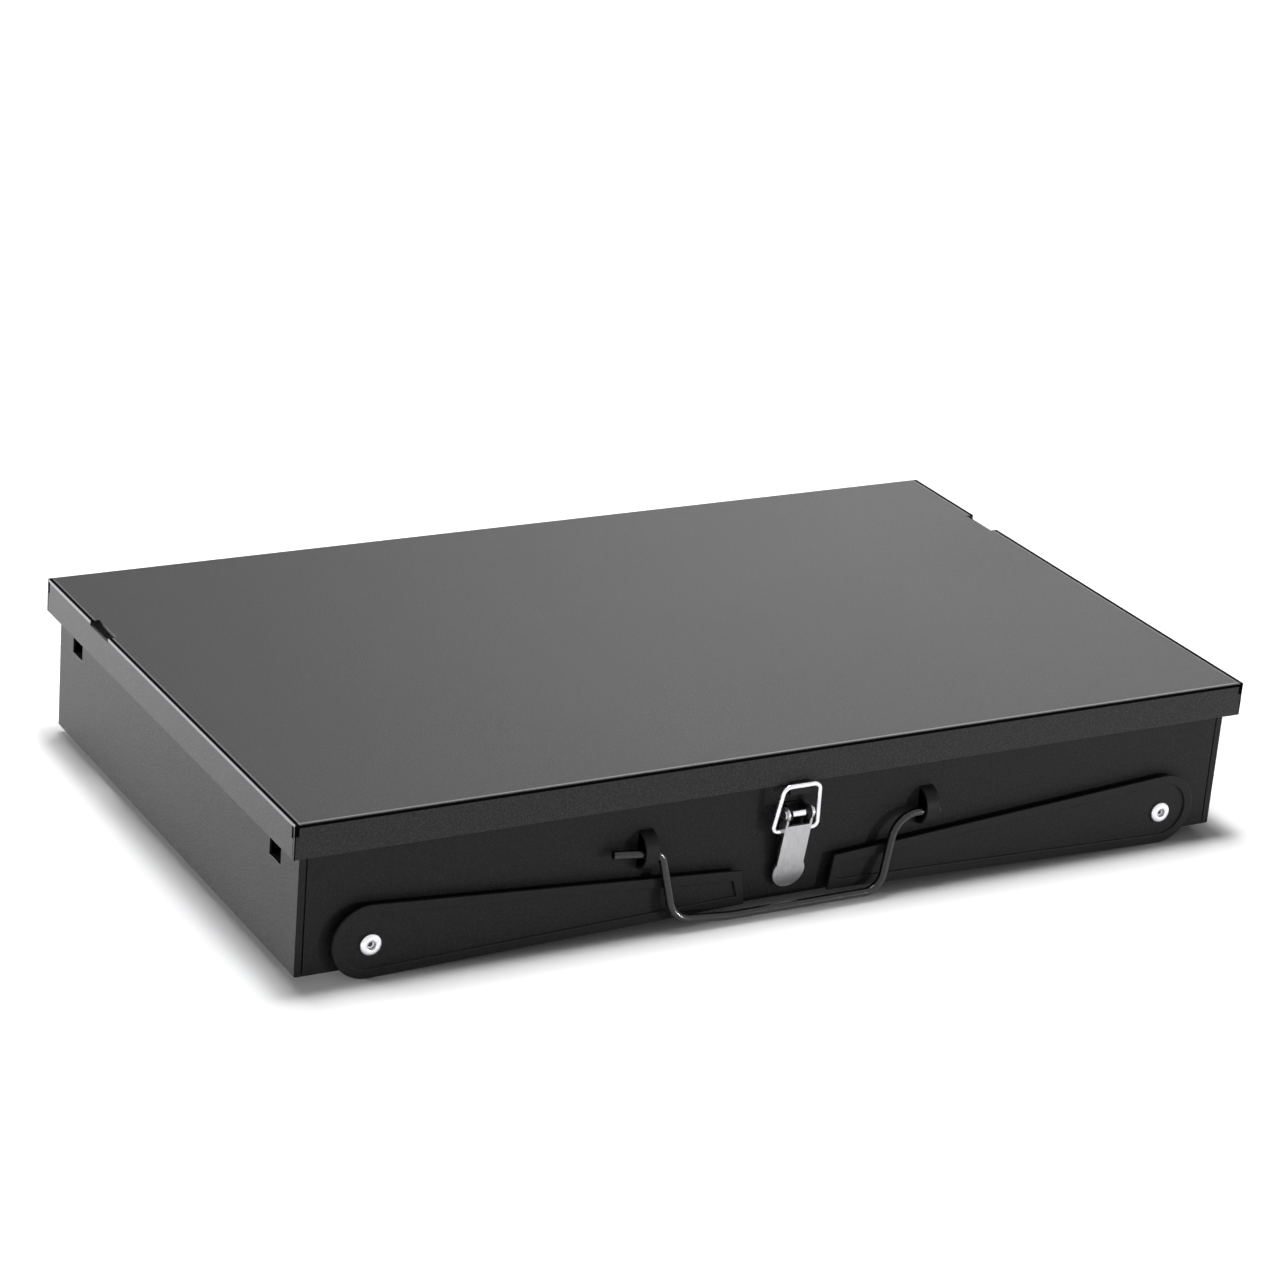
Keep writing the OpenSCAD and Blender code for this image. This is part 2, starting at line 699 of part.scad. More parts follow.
module hinge_upper_rivets() color(steel) seated() on_rear()
    for (side = [-1, 1]) hinge_spots(side) hinge_rivet_spots(upper_rivet_z)
        translate([0, 0, lid_overhang + hinge_sheet]) small_rivet(hinge_sheet + sheet);

// ---------------------------------------------------------------- bent wire

// The direction from one point to another
function toward(from, to) = (to - from) / norm(to - from);

// How far a wire turns at point i of a path
function turn(path, i) = acos(toward(path[i - 1], path[i]) * toward(path[i], path[i + 1]));

// How much of the lines beside point i its bend takes up
function trim(path, radii, i) =
    (i == 0 || i == len(path) - 1) ? 0 : radii[i] * tan(turn(path, i) / 2) - wire_lap;

// A straight wire from one point of the XZ plane to another
module straight(from, to, wire) {
    run = to - from;
    translate([from[0], 0, from[1]]) rotate([0, atan2(run[0], run[1]), 0])
        cylinder(d = wire, h = norm(run), $fn = 24);
}

// The bend at point i of a path in the XZ plane
module bend(path, radii, i, wire) {
    way = toward(path[i - 1], path[i]);
    sweep = turn(path, i);
    side = sign(cross(way, toward(path[i], path[i + 1])));
    left = [-way[1], way[0]];
    centre = path[i] - way * radii[i] * tan(sweep / 2) + side * radii[i] * left;
    start = atan2(-side * left[1], -side * left[0]);
    translate([centre[0], 0, centre[1]]) rotate([90, 0, 0])
        rotate([0, 0, side > 0 ? start : start - sweep]) rotate_extrude(angle = sweep)
            translate([radii[i], 0]) circle(d = wire + wire_swell, $fn = 24);
}

// A wire along a path in the XZ plane, with a bend radius for each point
module wire(path, radii, d) {
    for (i = [0 : len(path) - 2]) {
        way = toward(path[i], path[i + 1]);
        straight(path[i] + way * trim(path, radii, i),
                 path[i + 1] - way * trim(path, radii, i + 1), d);
    }
    for (i = [1 : len(path) - 2]) bend(path, radii, i, d);
}

// ---------------------------------------------------------------- latch

// Draws with the latch pin's axis on the X axis
module at_latch_pin() {
    translate([latch_side, -tray_d / 2 - latch_out, latch_pin_z]) children();
}

// Draws on the front wall where the latch is
module at_latch() {
    translate([latch_side, 0, 0]) children();
}

// The base: a plate on the wall with two ears that hold the pin
module latch_base() color(paint) seated() at_latch() {
    ear_t = 1;
    difference() {
        from_front() along_x(base_w) translate([0, base_low_z])
            square([latch_sheet, base_high_z - base_low_z]);
        on_front() for (z = base_rivet_z) translate([0, z, 0]) small_rivet_hole();
    }
    for (side = [-1, 1]) translate([side * (base_w - ear_t) / 2, 0, 0])
        from_front() along_x(ear_t) difference() {
            union() {
                translate([latch_out, latch_pin_z]) circle(latch_ear_r);
                translate([0, latch_pin_z - latch_ear_r]) square([latch_out, 2 * latch_ear_r]);
            }
            translate([latch_out, latch_pin_z]) circle(latch_pin_r + shaft_gap);
        }
}

module latch_base_rivets() color(paint) seated() at_latch() on_front()
    for (z = base_rivet_z) translate([0, z, latch_sheet]) small_rivet(latch_sheet + sheet);

module latch_pin() color(chrome) seated() at_latch_pin() {
    along_x(lever_w + 4 * face_gap) circle(latch_pin_r);
    for (side = [-1, 1]) translate([side * (lever_w + 2 * face_gap + pin_head_t) / 2, 0, 0])
        along_x(pin_head_t) circle(pin_head_r);
}

// The lever: a tapering face with a round end, and two cheeks that hold the pin and loop
module latch_lever() color(steel) seated() at_latch_pin() rotate([lever_tilt, 0, 0]) {
    end_z = lever_end_r - lever_l;
    cheek_r = latch_pin_r + 1.5;
    foot_r = loop_d / 2 + 1.2;
    rotate([90, 0, 0]) translate([0, 0, lever_face - latch_sheet])
        linear_extrude(latch_sheet) {
            translate([0, end_z]) circle(lever_end_r);
            polygon([[-lever_w / 2, -lever_top_drop], [-lever_low_w / 2, end_z],
                     [lever_low_w / 2, end_z], [lever_w / 2, -lever_top_drop]]);
        }
    for (side = [-1, 1]) translate([side * (lever_w - cheek_t) / 2, 0, 0])
        along_x(cheek_t) difference() {
            union() {
                circle(cheek_r);
                translate([0, -loop_drop]) circle(foot_r);
                translate([-foot_r, -loop_drop]) square([lever_face + foot_r, loop_drop]);
                translate([0, -loop_drop - foot_r]) square([lever_face, foot_r]);
            }
            circle(latch_pin_r + shaft_gap);
            translate([0, -loop_drop]) circle(loop_d / 2 + shaft_gap);
        }
}

// The loop, with its pivot line along X
module latch_loop() color(chrome) seated() at_latch()
    translate([0, -tray_d / 2 - loop_out, loop_z]) rotate([loop_lean, 0, 0])
        wire([[-loop_end_x, 0], [-loop_foot_w / 2, 0], [-loop_w / 2, loop_l],
              [loop_w / 2, loop_l], [loop_foot_w / 2, 0], [loop_end_x, 0]],
             [0, loop_foot, loop_corner, loop_corner, loop_foot, 0], loop_d);

// ---------------------------------------------------------------- handle

// The handle wire, with its pivot line along X and the grip below it
module handle_wire() color(gloss_paint) seated()
    translate([0, -tray_d / 2 - handle_out, handle_z]) rotate([-handle_tilt, 0, 0])
        wire([[-handle_left, tail_rise], [-arm_left, 0], [-grip_left, grip_rise - handle_drop],
              [-grip_knee, -handle_drop], [grip_right, -handle_drop], [arm_right, 0],
              [handle_right, 0]],
             [0, arm_bend_left, grip_bend, knee_bend, grip_bend, arm_bend_right, 0],
             handle_d);

// ---------------------------------------------------------------- the nodes

tray_pan();
side_wall_left();
side_wall_right();
coal_grate();
cooking_grid();
leg_washer_front_left();
leg_washer_front_right();
leg_washer_rear_left();
leg_washer_rear_right();
leg_rivet_front_left();
leg_rivet_front_right();
leg_rivet_rear_left();
leg_rivet_rear_right();
hinge_leaf_lower_left();
hinge_leaf_lower_right();
hinge_lower_rivets();
hinge_pin_left();
hinge_pin_right();
latch_base();
latch_base_rivets();
latch_pin();
lid_shell();
hinge_leaf_upper_left();
hinge_leaf_upper_right();
hinge_upper_rivets();
latch_keeper();
handle_wire();
latch_lever();
latch_loop();
leg_front_left();
leg_front_right();
leg_rear_left();
leg_rear_right();
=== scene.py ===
"""Folding briefcase barbecue: the dressed model, built round its CAD frame."""

import math

import bmesh
import bpy
from mathutils import Matrix, Vector


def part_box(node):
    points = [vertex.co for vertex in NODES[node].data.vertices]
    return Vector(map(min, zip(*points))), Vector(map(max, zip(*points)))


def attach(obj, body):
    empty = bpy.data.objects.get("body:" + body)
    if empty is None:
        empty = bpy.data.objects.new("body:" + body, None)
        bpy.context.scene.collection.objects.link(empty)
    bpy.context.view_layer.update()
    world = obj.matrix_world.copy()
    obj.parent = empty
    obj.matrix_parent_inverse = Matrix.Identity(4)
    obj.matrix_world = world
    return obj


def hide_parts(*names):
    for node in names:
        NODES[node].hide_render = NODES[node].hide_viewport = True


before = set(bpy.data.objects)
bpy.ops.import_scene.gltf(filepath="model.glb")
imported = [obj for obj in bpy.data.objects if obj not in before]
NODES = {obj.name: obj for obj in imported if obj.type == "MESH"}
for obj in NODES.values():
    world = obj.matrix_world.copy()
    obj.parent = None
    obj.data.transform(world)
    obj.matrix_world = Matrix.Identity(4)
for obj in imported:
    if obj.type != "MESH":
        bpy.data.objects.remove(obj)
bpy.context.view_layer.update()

bl_info = {
    "name": "Folding Briefcase Barbecue",
    "version": (1, 0, 0),
    "blender": (4, 5, 0),
    "location": "View3D > Sidebar > Barbecue",
    "description": "Builds a closed folding barbecue round its CAD frame",
    "category": "Object",
}

MM = 0.001
NEAR = 0.1 * MM  # a coordinate this close to a face lies on it
WELD = 0.002 * MM  # corners closer than this are one corner
LONG_EDGE = 15 * MM  # bends are longer than this, cut edges of slots are shorter
DOME_STEPS = 8
LID_LIGHTER = 2.4  # the lid's coat against the tray's
TRAY_LOW, TRAY_HIGH = (Vector(corner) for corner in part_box("tray_pan"))
SIDE_LOW, SIDE_HIGH = (Vector(corner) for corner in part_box("side_wall_left"))
FRONT_Y = SIDE_LOW.y
REAR_Y = SIDE_HIGH.y
SIDE_X = max(abs(SIDE_LOW.x), abs(SIDE_HIGH.x))
FLOOR_Z = TRAY_LOW.z
MIDDLE_Y = (FRONT_Y + REAR_Y) / 2
LID_BOX = tuple(Vector(corner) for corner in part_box("lid_shell"))
LEG_NODES = ("leg_front_left", "leg_front_right", "leg_rear_left", "leg_rear_right")
RIVET_AT = sum((Vector(corner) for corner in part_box("leg_rivet_front_left")), Vector()) / 2


# ---------- sizes

class BarbecueSheet(bpy.types.PropertyGroup):
    """Sizes of the bent and pressed sheet."""

    top_bend: bpy.props.FloatProperty(
        name="Lid bend", description="Radius of the lid's folded edges",
        default=0.9 * MM, unit="LENGTH")
    cut_edge: bpy.props.FloatProperty(
        name="Cut edge", description="Rounding of the sheet's cut edges",
        default=0.22 * MM, unit="LENGTH")
    press_edge: bpy.props.FloatProperty(
        name="Pressed edge", description="Rounding of the legs' raised border",
        default=0.5 * MM, unit="LENGTH")
    leg_edge: bpy.props.FloatProperty(
        name="Leg edge", description="Rounding of the legs' other edges",
        default=0.25 * MM, unit="LENGTH")
    latch_edge: bpy.props.FloatProperty(
        name="Latch edge", description="Rounding of the latch's edges",
        default=0.28 * MM, unit="LENGTH")
    hinge_edge: bpy.props.FloatProperty(
        name="Hinge edge", description="Rounding of the hinge leaves' edges",
        default=0.2 * MM, unit="LENGTH")


class BarbecueWire(bpy.types.PropertyGroup):
    """Sizes of the handle wire and the latch loop."""

    handle_diameter: bpy.props.FloatProperty(
        name="Handle wire", description="Diameter of the carrying handle's wire",
        default=3.6 * MM, unit="LENGTH")
    handle_pivot_out: bpy.props.FloatProperty(
        name="Handle pivot", description="Distance of the pivot line from the front wall",
        default=4.5 * MM, unit="LENGTH")
    handle_pivot_height: bpy.props.FloatProperty(
        name="Pivot height", description="Height of the pivot line above the tray's underside",
        default=30.4 * MM, unit="LENGTH")
    handle_drop: bpy.props.FloatProperty(
        name="Handle drop", description="Drop from the pivot line to the grip's middle",
        default=30.4 * MM, unit="LENGTH")
    grip_ends: bpy.props.FloatVectorProperty(
        name="Grip ends", description="Distances from the middle to the grip's bends",
        default=(55.4 * MM, 41.4 * MM), size=2, unit="LENGTH")
    grip_rise: bpy.props.FloatProperty(
        name="Grip rise", description="How much higher the grip is at its left bend",
        default=2.3 * MM, unit="LENGTH")
    grip_knee: bpy.props.FloatProperty(
        name="Grip knee", description="Distance from the middle to where the grip levels out",
        default=30.0 * MM, unit="LENGTH")
    arm_tops: bpy.props.FloatVectorProperty(
        name="Arm tops", description="Distances from the middle to the arms' top bends",
        default=(60.0 * MM, 49.8 * MM), size=2, unit="LENGTH")
    grip_bend: bpy.props.FloatProperty(
        name="Grip bends", description="Radius of the bends beside the grip",
        default=9.5 * MM, unit="LENGTH")
    knee_bend: bpy.props.FloatProperty(
        name="Knee bend", description="Radius of the bend where the grip levels out",
        default=40.0 * MM, unit="LENGTH")
    arm_bends: bpy.props.FloatVectorProperty(
        name="Arm bends", description="Radii of the arms' top bends",
        default=(4.6 * MM, 13.0 * MM), size=2, unit="LENGTH")
    handle_ends: bpy.props.FloatVectorProperty(
        name="Handle ends", description="Distances from the middle to the wire's ends",
        default=(82.0 * MM, 70.0 * MM), size=2, unit="LENGTH")
    tail_rise: bpy.props.FloatProperty(
        name="Tail rise", description="How far the wire's left end is bent up",
        default=2.3 * MM, unit="LENGTH")
    handle_tilt: bpy.props.FloatProperty(
        name="Handle tilt", description="Angle at which the handle leans out",
        default=math.radians(10.5), subtype="ANGLE")
    loop_diameter: bpy.props.FloatProperty(
        name="Loop wire", description="Diameter of the latch loop's wire",
        default=2.2 * MM, unit="LENGTH")
    loop_widths: bpy.props.FloatVectorProperty(
        name="Loop widths", description="Widths between the loop's legs at their feet and tops",
        default=(21.0 * MM, 16.4 * MM), size=2, unit="LENGTH")
    loop_end: bpy.props.FloatProperty(
        name="Loop ends", description="Distance from the middle to the wire's ends",
        default=4.75 * MM, unit="LENGTH")
    loop_length: bpy.props.FloatProperty(
        name="Loop length", description="Length from the loop's pivot to its top bar",
        default=20.8 * MM, unit="LENGTH")
    loop_bends: bpy.props.FloatVectorProperty(
        name="Loop bends", description="Radii of the loop's bottom and top bends",
        default=(2.4 * MM, 3.4 * MM), size=2, unit="LENGTH")
    loop_lean: bpy.props.FloatProperty(
        name="Loop lean", description="Angle at which the loop leans out",
        default=math.radians(7.8), subtype="ANGLE")


class BarbecueRivets(bpy.types.PropertyGroup):
    """Sizes of the rivets."""

    leg_head: bpy.props.FloatProperty(
        name="Leg rivet head", description="Radius of the leg rivets' heads",
        default=4.7 * MM, unit="LENGTH")
    leg_hollow: bpy.props.FloatProperty(
        name="Leg rivet hollow", description="Radius of the hollow in the leg rivets' heads",
        default=1.5 * MM, unit="LENGTH")
    leg_rise: bpy.props.FloatProperty(
        name="Leg rivet height", description="Height of the leg rivets' heads",
        default=1.7 * MM, unit="LENGTH")
    leg_shank: bpy.props.FloatProperty(
        name="Leg rivet shank", description="Radius of the leg rivets' shanks",
        default=2.5 * MM, unit="LENGTH")
    small_head: bpy.props.FloatProperty(
        name="Small rivet head", description="Radius of the hinge and latch rivets' heads",
        default=2.9 * MM, unit="LENGTH")
    small_rise: bpy.props.FloatProperty(
        name="Small rivet height", description="Height of the hinge and latch rivets' heads",
        default=1.0 * MM, unit="LENGTH")
    small_shank: bpy.props.FloatProperty(
        name="Small rivet shank", description="Radius of the hinge and latch rivets' shanks",
        default=1.6 * MM, unit="LENGTH")


class BarbecueGrid(bpy.types.PropertyGroup):
    """Sizes of the cooking grid."""

    frame_wire: bpy.props.FloatProperty(
        name="Frame wire", description="Diameter of the grid's frame wire",
        default=4.0 * MM, unit="LENGTH")
    frame_bend: bpy.props.FloatProperty(
        name="Frame bend", description="Radius of the bends in the grid's frame",
        default=5.0 * MM, unit="LENGTH")
    rod_wire: bpy.props.FloatProperty(
        name="Rods", description="Diameter of the grid's rods and cross wires",
        default=2.6 * MM, unit="LENGTH")
    rod_pitch: bpy.props.FloatProperty(
        name="Rod pitch", description="Distance between the middles of two rods",
        default=13.0 * MM, unit="LENGTH")
    rod_margin: bpy.props.FloatProperty(
        name="Rod margin", description="Least distance from a rod to the frame",
        default=4.0 * MM, unit="LENGTH")


class BarbecueFinish(bpy.types.PropertyGroup):
    """Colours of the finishes."""

    paint: bpy.props.FloatVectorProperty(
        name="Paint", description="Colour of the powder coat",
        default=(0.0145, 0.0145, 0.0150), size=3, subtype="COLOR", min=0.0, max=1.0)
    wire_paint: bpy.props.FloatVectorProperty(
        name="Wire paint", description="Colour of the handle wire's dip coat",
        default=(0.009, 0.009, 0.010), size=3, subtype="COLOR", min=0.0, max=1.0)
    satin_steel: bpy.props.FloatVectorProperty(
        name="Satin steel", description="Colour of the latch lever",
        default=(0.46, 0.46, 0.47), size=3, subtype="COLOR", min=0.0, max=1.0)
    zinc: bpy.props.FloatVectorProperty(
        name="Zinc", description="Colour of the zinc-plated steel",
        default=(0.55, 0.56, 0.58), size=3, subtype="COLOR", min=0.0, max=1.0)
    chrome: bpy.props.FloatVectorProperty(
        name="Chrome", description="Colour of the bright plating",
        default=(0.82, 0.82, 0.84), size=3, subtype="COLOR", min=0.0, max=1.0)
    blackened: bpy.props.FloatVectorProperty(
        name="Blackened steel", description="Colour of the coal grate",
        default=(0.050, 0.048, 0.046), size=3, subtype="COLOR", min=0.0, max=1.0)


GROUPS = {
    "barbecue_sheet": BarbecueSheet,
    "barbecue_wire": BarbecueWire,
    "barbecue_rivets": BarbecueRivets,
    "barbecue_grid": BarbecueGrid,
    "barbecue_finish": BarbecueFinish,
}


# ---------- shader maths

class Socket:
    """A node's output, with the operators that a surface pattern uses."""

    def __init__(self, tree, out):
        self.tree = tree
        self.out = out

    def math(self, operation, *values):
        """A Math node of this socket and other values."""
        return add_node(self.tree, "ShaderNodeMath", {"operation": operation},
                        {i: v for i, v in enumerate((self, *values))})

    def __add__(self, other):
        return self.math("ADD", other)

    __radd__ = __add__

    def __mul__(self, other):
        return self.math("MULTIPLY", other)

    __rmul__ = __mul__

    def __sub__(self, other):
        return self.math("SUBTRACT", other)

    def __rsub__(self, other):
        return self.math("MULTIPLY", -1.0) + other

    def __pow__(self, other):
        return self.math("POWER", other)

    def clamped(self):
        """This value held between 0 and 1."""
        return add_node(self.tree, "ShaderNodeClamp", {}, {"Value": self})

    def ramp(self, low, high, to_low=0.0, to_high=1.0):
        """This value mapped smoothly from one range to another."""
        return add_node(self.tree, "ShaderNodeMapRange", {"interpolation_type": "SMOOTHSTEP"},
                        {"Value": self, "From Min": low, "From Max": high,
                         "To Min": to_low, "To Max": to_high})

    def axis(self, name):
        """The X, Y or Z of this vector."""
        return add_node(self.tree, "ShaderNodeSeparateXYZ", {}, {"Vector": self}, name)


def add_node(tree, kind, settings, inputs, output=0):
    """Adds a node, sets it, fills its sockets and returns one of its outputs."""
    node = tree.nodes.new(kind)
    for name, value in settings.items():
        setattr(node, name, value)
    for name, value in inputs.items():
        fill(tree, node.inputs[name], value)
    return Socket(tree, node.outputs[output])


def end_tree(tree, kind, name, result):
    """Adds a tree's output node and links the tree's result to it."""
    tree.links.new(result.out, tree.nodes.new(kind).inputs[name])


def fill(tree, socket, value):
    """Links a Socket to a node's input, or sets its value."""
    if isinstance(value, Socket):
        tree.links.new(value.out, socket)
    elif isinstance(value, (tuple, list)) and socket.type == "RGBA" and len(value) == 3:
        socket.default_value = (*value, 1.0)
    else:
        socket.default_value = value


def mix_colour(tree, factor, low, high):
    """One colour blended into another by a factor."""
    node = tree.nodes.new("ShaderNodeMix")
    node.data_type = "RGBA"
    for name, value in (("Factor_Float", factor), ("A_Color", low), ("B_Color", high)):
        socket = next(s for s in node.inputs if s.identifier == name)
        fill(tree, socket, value)
    out = next(s for s in node.outputs if s.identifier == "Result_Color")
    return Socket(tree, out)


def noise(tree, place, scale, detail, roughness=0.5):
    """A noise value round 0.5 at a place, with its cells per metre."""
    return add_node(tree, "ShaderNodeTexNoise", {},
                    {"Vector": place, "Scale": scale, "Detail": detail, "Roughness": roughness})


def shade(colour, factor):
    """A colour made lighter or darker by a factor."""
    return tuple(min(1.0, c * factor) for c in colour)


def feed(tree, shader, **values):
    """Fills a shader's inputs by their names, with _ for a space."""
    for name, value in values.items():
        fill(tree, shader.inputs[name.replace("_", " ")], value)


def start_material(name, **constants):
    """A new material, its tree, its Principled shader and the object's coordinates."""
    material = bpy.data.materials.new(name)
    material.use_nodes = True
    tree = material.node_tree
    shader = tree.nodes["Principled BSDF"]
    feed(tree, shader, **constants)
    return material, tree, shader, add_node(tree, "ShaderNodeTexCoord", {}, {}, "Object")


def bumped(tree, height, distance, strength):
    """A Bump node's normal from a height."""
    return add_node(tree, "ShaderNodeBump", {},
                    {"Height": height, "Distance": distance, "Strength": strength})


def seen_rays(tree):
    """1 for rays from the camera, a reflection or a see-through surface, and else 0."""
    rays = add_node(tree, "ShaderNodeLightPath", {}, {}).out.node.outputs
    camera, glossy, through = (Socket(tree, rays[f"Is {kind} Ray"])
                               for kind in ("Camera", "Glossy", "Transmission"))
    return (camera + glossy + through).clamped()


def powder_coat(name, colour, bent_box=None):
    """Satin powder coat: a fine grain, light specks, rubbed patches, and on a lid painted shade
    and painted highlights at its folds.
    """
    material, tree, shader, place = start_material(name, IOR=1.5, Specular_IOR_Level=0.12)
    grain = noise(tree, place, 1500.0, 1.5, 0.55)
    speck = noise(tree, place, 2600.0, 0.0).ramp(0.62, 0.74)
    patch = noise(tree, place, 9.0, 3.0, 0.6)
    tone = (0.85 * grain + 0.5 * speck + 0.15 * patch).ramp(0.30, 1.00)
    paint = mix_colour(tree, tone, shade(colour, 0.72), shade(colour, 1.55))
    if bent_box:
        dark, light = painted_bend_shade_and_highlight(place, *bent_box)
        # painted highlight: a much lighter colour along the lid's folds
        paint = mix_colour(tree, light, paint, shade(colour, 5.0))
        # painted shade: a near-black matte coat mixed in along the folds, corner seams and notches
        black = add_node(tree, "ShaderNodeBsdfDiffuse", {}, {"Color": shade(colour, 0.08)})
        both = add_node(tree, "ShaderNodeMixShader", {},
                        {0: dark, 1: Socket(tree, shader.outputs[0]), 2: black})
        output = next(node for node in tree.nodes if node.type == "OUTPUT_MATERIAL")
        tree.links.new(both.out, output.inputs["Surface"])
    feed(tree, shader, Base_Color=paint,
         Roughness=0.50 + 0.06 * (patch - 0.5) + 0.40 * (grain - 0.5),
         Normal=bumped(tree, grain + 0.3 * speck, 0.10 * MM, 0.8))
    return material


def painted_bend_shade_and_highlight(place, low, high):
    """Factors for the painted shade and painted highlight lines along the lid's folds, corner
    seams and notches.
    """
    drop = high.z - place.axis("Z")
    from_end = (place.axis("X") - low.x).math("MINIMUM", high.x - place.axis("X"))
    from_face = (place.axis("Y") - low.y).math("MINIMUM", high.y - place.axis("Y"))

    def band(value, start, end):
        """1 where the value lies between two distances in millimetres, softly."""
        soft = 0.15 * MM
        return (value.ramp(start * MM - soft, start * MM + soft)
                * value.ramp(end * MM - soft, end * MM + soft, 1.0, 0.0))

    # dark is painted shade just below the front and back folds, on the top beside the end folds,
    # in the corner seams and over the notches; light is painted highlight along the folds
    on_top = band(drop, -1.0, 0.5)
    dark = band(drop, 0.3, 1.5) * band(from_face, -1.0, 0.5)
    dark = dark.math("MAXIMUM", on_top * band(from_end, 0.3, 1.6))
    # painted shade standing for a notch at each end of the front and back flanges
    notch = band(from_end, -1.0, 1.9) * band(drop, 0.8, 5.0)
    seam = band(from_end, 0.1, 0.6).math("MAXIMUM", notch)
    dark = dark.math("MAXIMUM", seam * band(from_face, -1.0, 0.3) * band(drop, 0.5, 30.0))
    light = on_top * band(place.axis("Y") - low.y, 0.6, 1.5)
    light = light.math("MAXIMUM", 0.5 * on_top * band(from_end, 1.8, 2.5))
    light = light.math("MAXIMUM", band(drop, 0.0, 1.2) * band(from_end, -1.0, 0.4))
    return dark.clamped(), light.clamped()


def dip_coat(name, colour):
    """Gloss black dip coat on wire: smooth, with slow waves and faint dulled spots."""
    material, tree, shader, place = start_material(name, IOR=1.52)
    wave = noise(tree, place, 190.0, 2.0)
    spot = noise(tree, place, 900.0, 2.0).ramp(0.58, 0.72)
    feed(tree, shader,
         Base_Color=mix_colour(tree, spot, shade(colour, 0.85), shade(colour, 1.8)),
         Roughness=0.11 + 0.06 * wave + 0.10 * spot,
         Normal=bumped(tree, wave, 0.06 * MM, 0.7))
    return material


def plated(name, colour, rough, stretch=(1.0, 1.0, 1.0), wear=0.12, hole=None):
    """Plated steel: brushed lines, small pits and cloudy roughness, with painted shade inside a
    hole and a painted shadow ring at its rim.
    """
    material, tree, shader, place = start_material(name, Metallic=1.0)
    lined = add_node(tree, "ShaderNodeVectorMath", {"operation": "MULTIPLY"},
                     {0: place, 1: stretch})
    lines = noise(tree, lined, 1600.0, 3.0, 0.6)
    cloud = noise(tree, place, 160.0, 3.0, 0.55)
    pit = noise(tree, place, 1400.0, 1.0).ramp(0.66, 0.76)
    tone = (0.6 * lines + 0.5 * cloud - 0.25 * pit).ramp(0.25, 0.85)
    metal = mix_colour(tree, tone, shade(colour, 1.0 - 1.6 * wear), shade(colour, 1.0 + wear))
    if hole:
        side = place.axis("X").math("ABSOLUTE") - abs(hole.x)
        off = (side ** 2.0 + (place.axis("Z") - hole.z) ** 2.0) ** 0.5
        # painted shade: near black and not metallic inside the hole, with a fainter painted shadow
        # ring at the hollow's rim
        inside = off.ramp(0.9 * MM, 1.1 * MM, 1.0, 0.0)
        ring = off.ramp(1.4 * MM, 1.6 * MM) * off.ramp(1.7 * MM, 1.9 * MM, 1.0, 0.0)
        inside = inside.math("MAXIMUM", 0.6 * ring)
        metal = mix_colour(tree, inside, metal, shade(colour, 0.02))
        feed(tree, shader, Metallic=1.0 - inside)
    feed(tree, shader, Base_Color=metal,
         Roughness=rough + 0.10 * (cloud - 0.5) + 0.12 * (lines - 0.5) + 0.15 * pit,
         Normal=bumped(tree, 0.6 * lines + 0.5 * cloud - 0.5 * pit, 0.012 * MM, 0.6))
    return material


def heat_blued(name, colour):
    """Blackened sheet for the coal grate, with scale and a bluish cast from heat."""
    material, tree, shader, place = start_material(name, Metallic=0.5)
    cloud = noise(tree, place, 45.0, 4.0, 0.6)
    scale = noise(tree, place, 700.0, 3.0, 0.6)
    bluish = (colour[0] * 1.5, colour[1] * 1.6, colour[2] * 2.0)
    feed(tree, shader,
         Base_Color=mix_colour(tree, (cloud + 0.4 * scale).ramp(0.45, 0.95),
                               shade(colour, 0.7), bluish),
         Roughness=0.45 + 0.3 * cloud * scale,
         Normal=bumped(tree, scale, 0.04 * MM, 0.7))
    return material


MATERIALS = {}


def make_materials(finish):
    """Makes every finish once, from the colours in the sidebar."""
    MATERIALS.update(
        coat=powder_coat("satin_black_powder_coat", tuple(finish.paint)),
        lid_coat=powder_coat("folded_black_powder_coat",
                             shade(finish.paint, LID_LIGHTER), LID_BOX),
        wire=dip_coat("gloss_black_dip_coat", tuple(finish.wire_paint)),
        lever=plated("satin_pressed_steel", tuple(finish.satin_steel), 0.36, (1.0, 1.0, 0.06)),
        zinc=plated("zinc_plated_steel", tuple(finish.zinc), 0.33, (0.1, 1.0, 1.0), 0.18),
        bright=plated("bright_plating", tuple(finish.chrome), 0.16, wear=0.06),
        rivet=plated("bright_rivets", tuple(finish.chrome), 0.22, wear=0.06, hole=RIVET_AT),
        grid=plated("chromed_grid_wire", tuple(finish.chrome), 0.20, (1.0, 0.1, 1.0), 0.10),
        grate=heat_blued("blackened_sheet", tuple(finish.blackened)),
    )


# ---------- meshes

def linked(name, data):
    """A new object in the scene."""
    obj = bpy.data.objects.new(name, data)
    bpy.context.collection.objects.link(obj)
    return obj


def settle(obj):
    """Applies an object's modifiers and leaves a plain mesh of the same name."""
    graph = bpy.context.evaluated_depsgraph_get()
    mesh = bpy.data.meshes.new_from_object(obj.evaluated_get(graph), depsgraph=graph)
    name = obj.name
    bpy.data.objects.remove(obj)
    return linked(name, mesh)


def smoothed(mesh, sharp):
    """Shades a mesh smooth, but for edges that turn by more than an angle in degrees."""
    for face in mesh.polygons:
        face.use_smooth = True
    mesh.set_sharp_from_angle(angle=math.radians(sharp))


def near(value, *others):
    """Whether a coordinate lies on one of the others."""
    return any(abs(value - other) < NEAR for other in others)


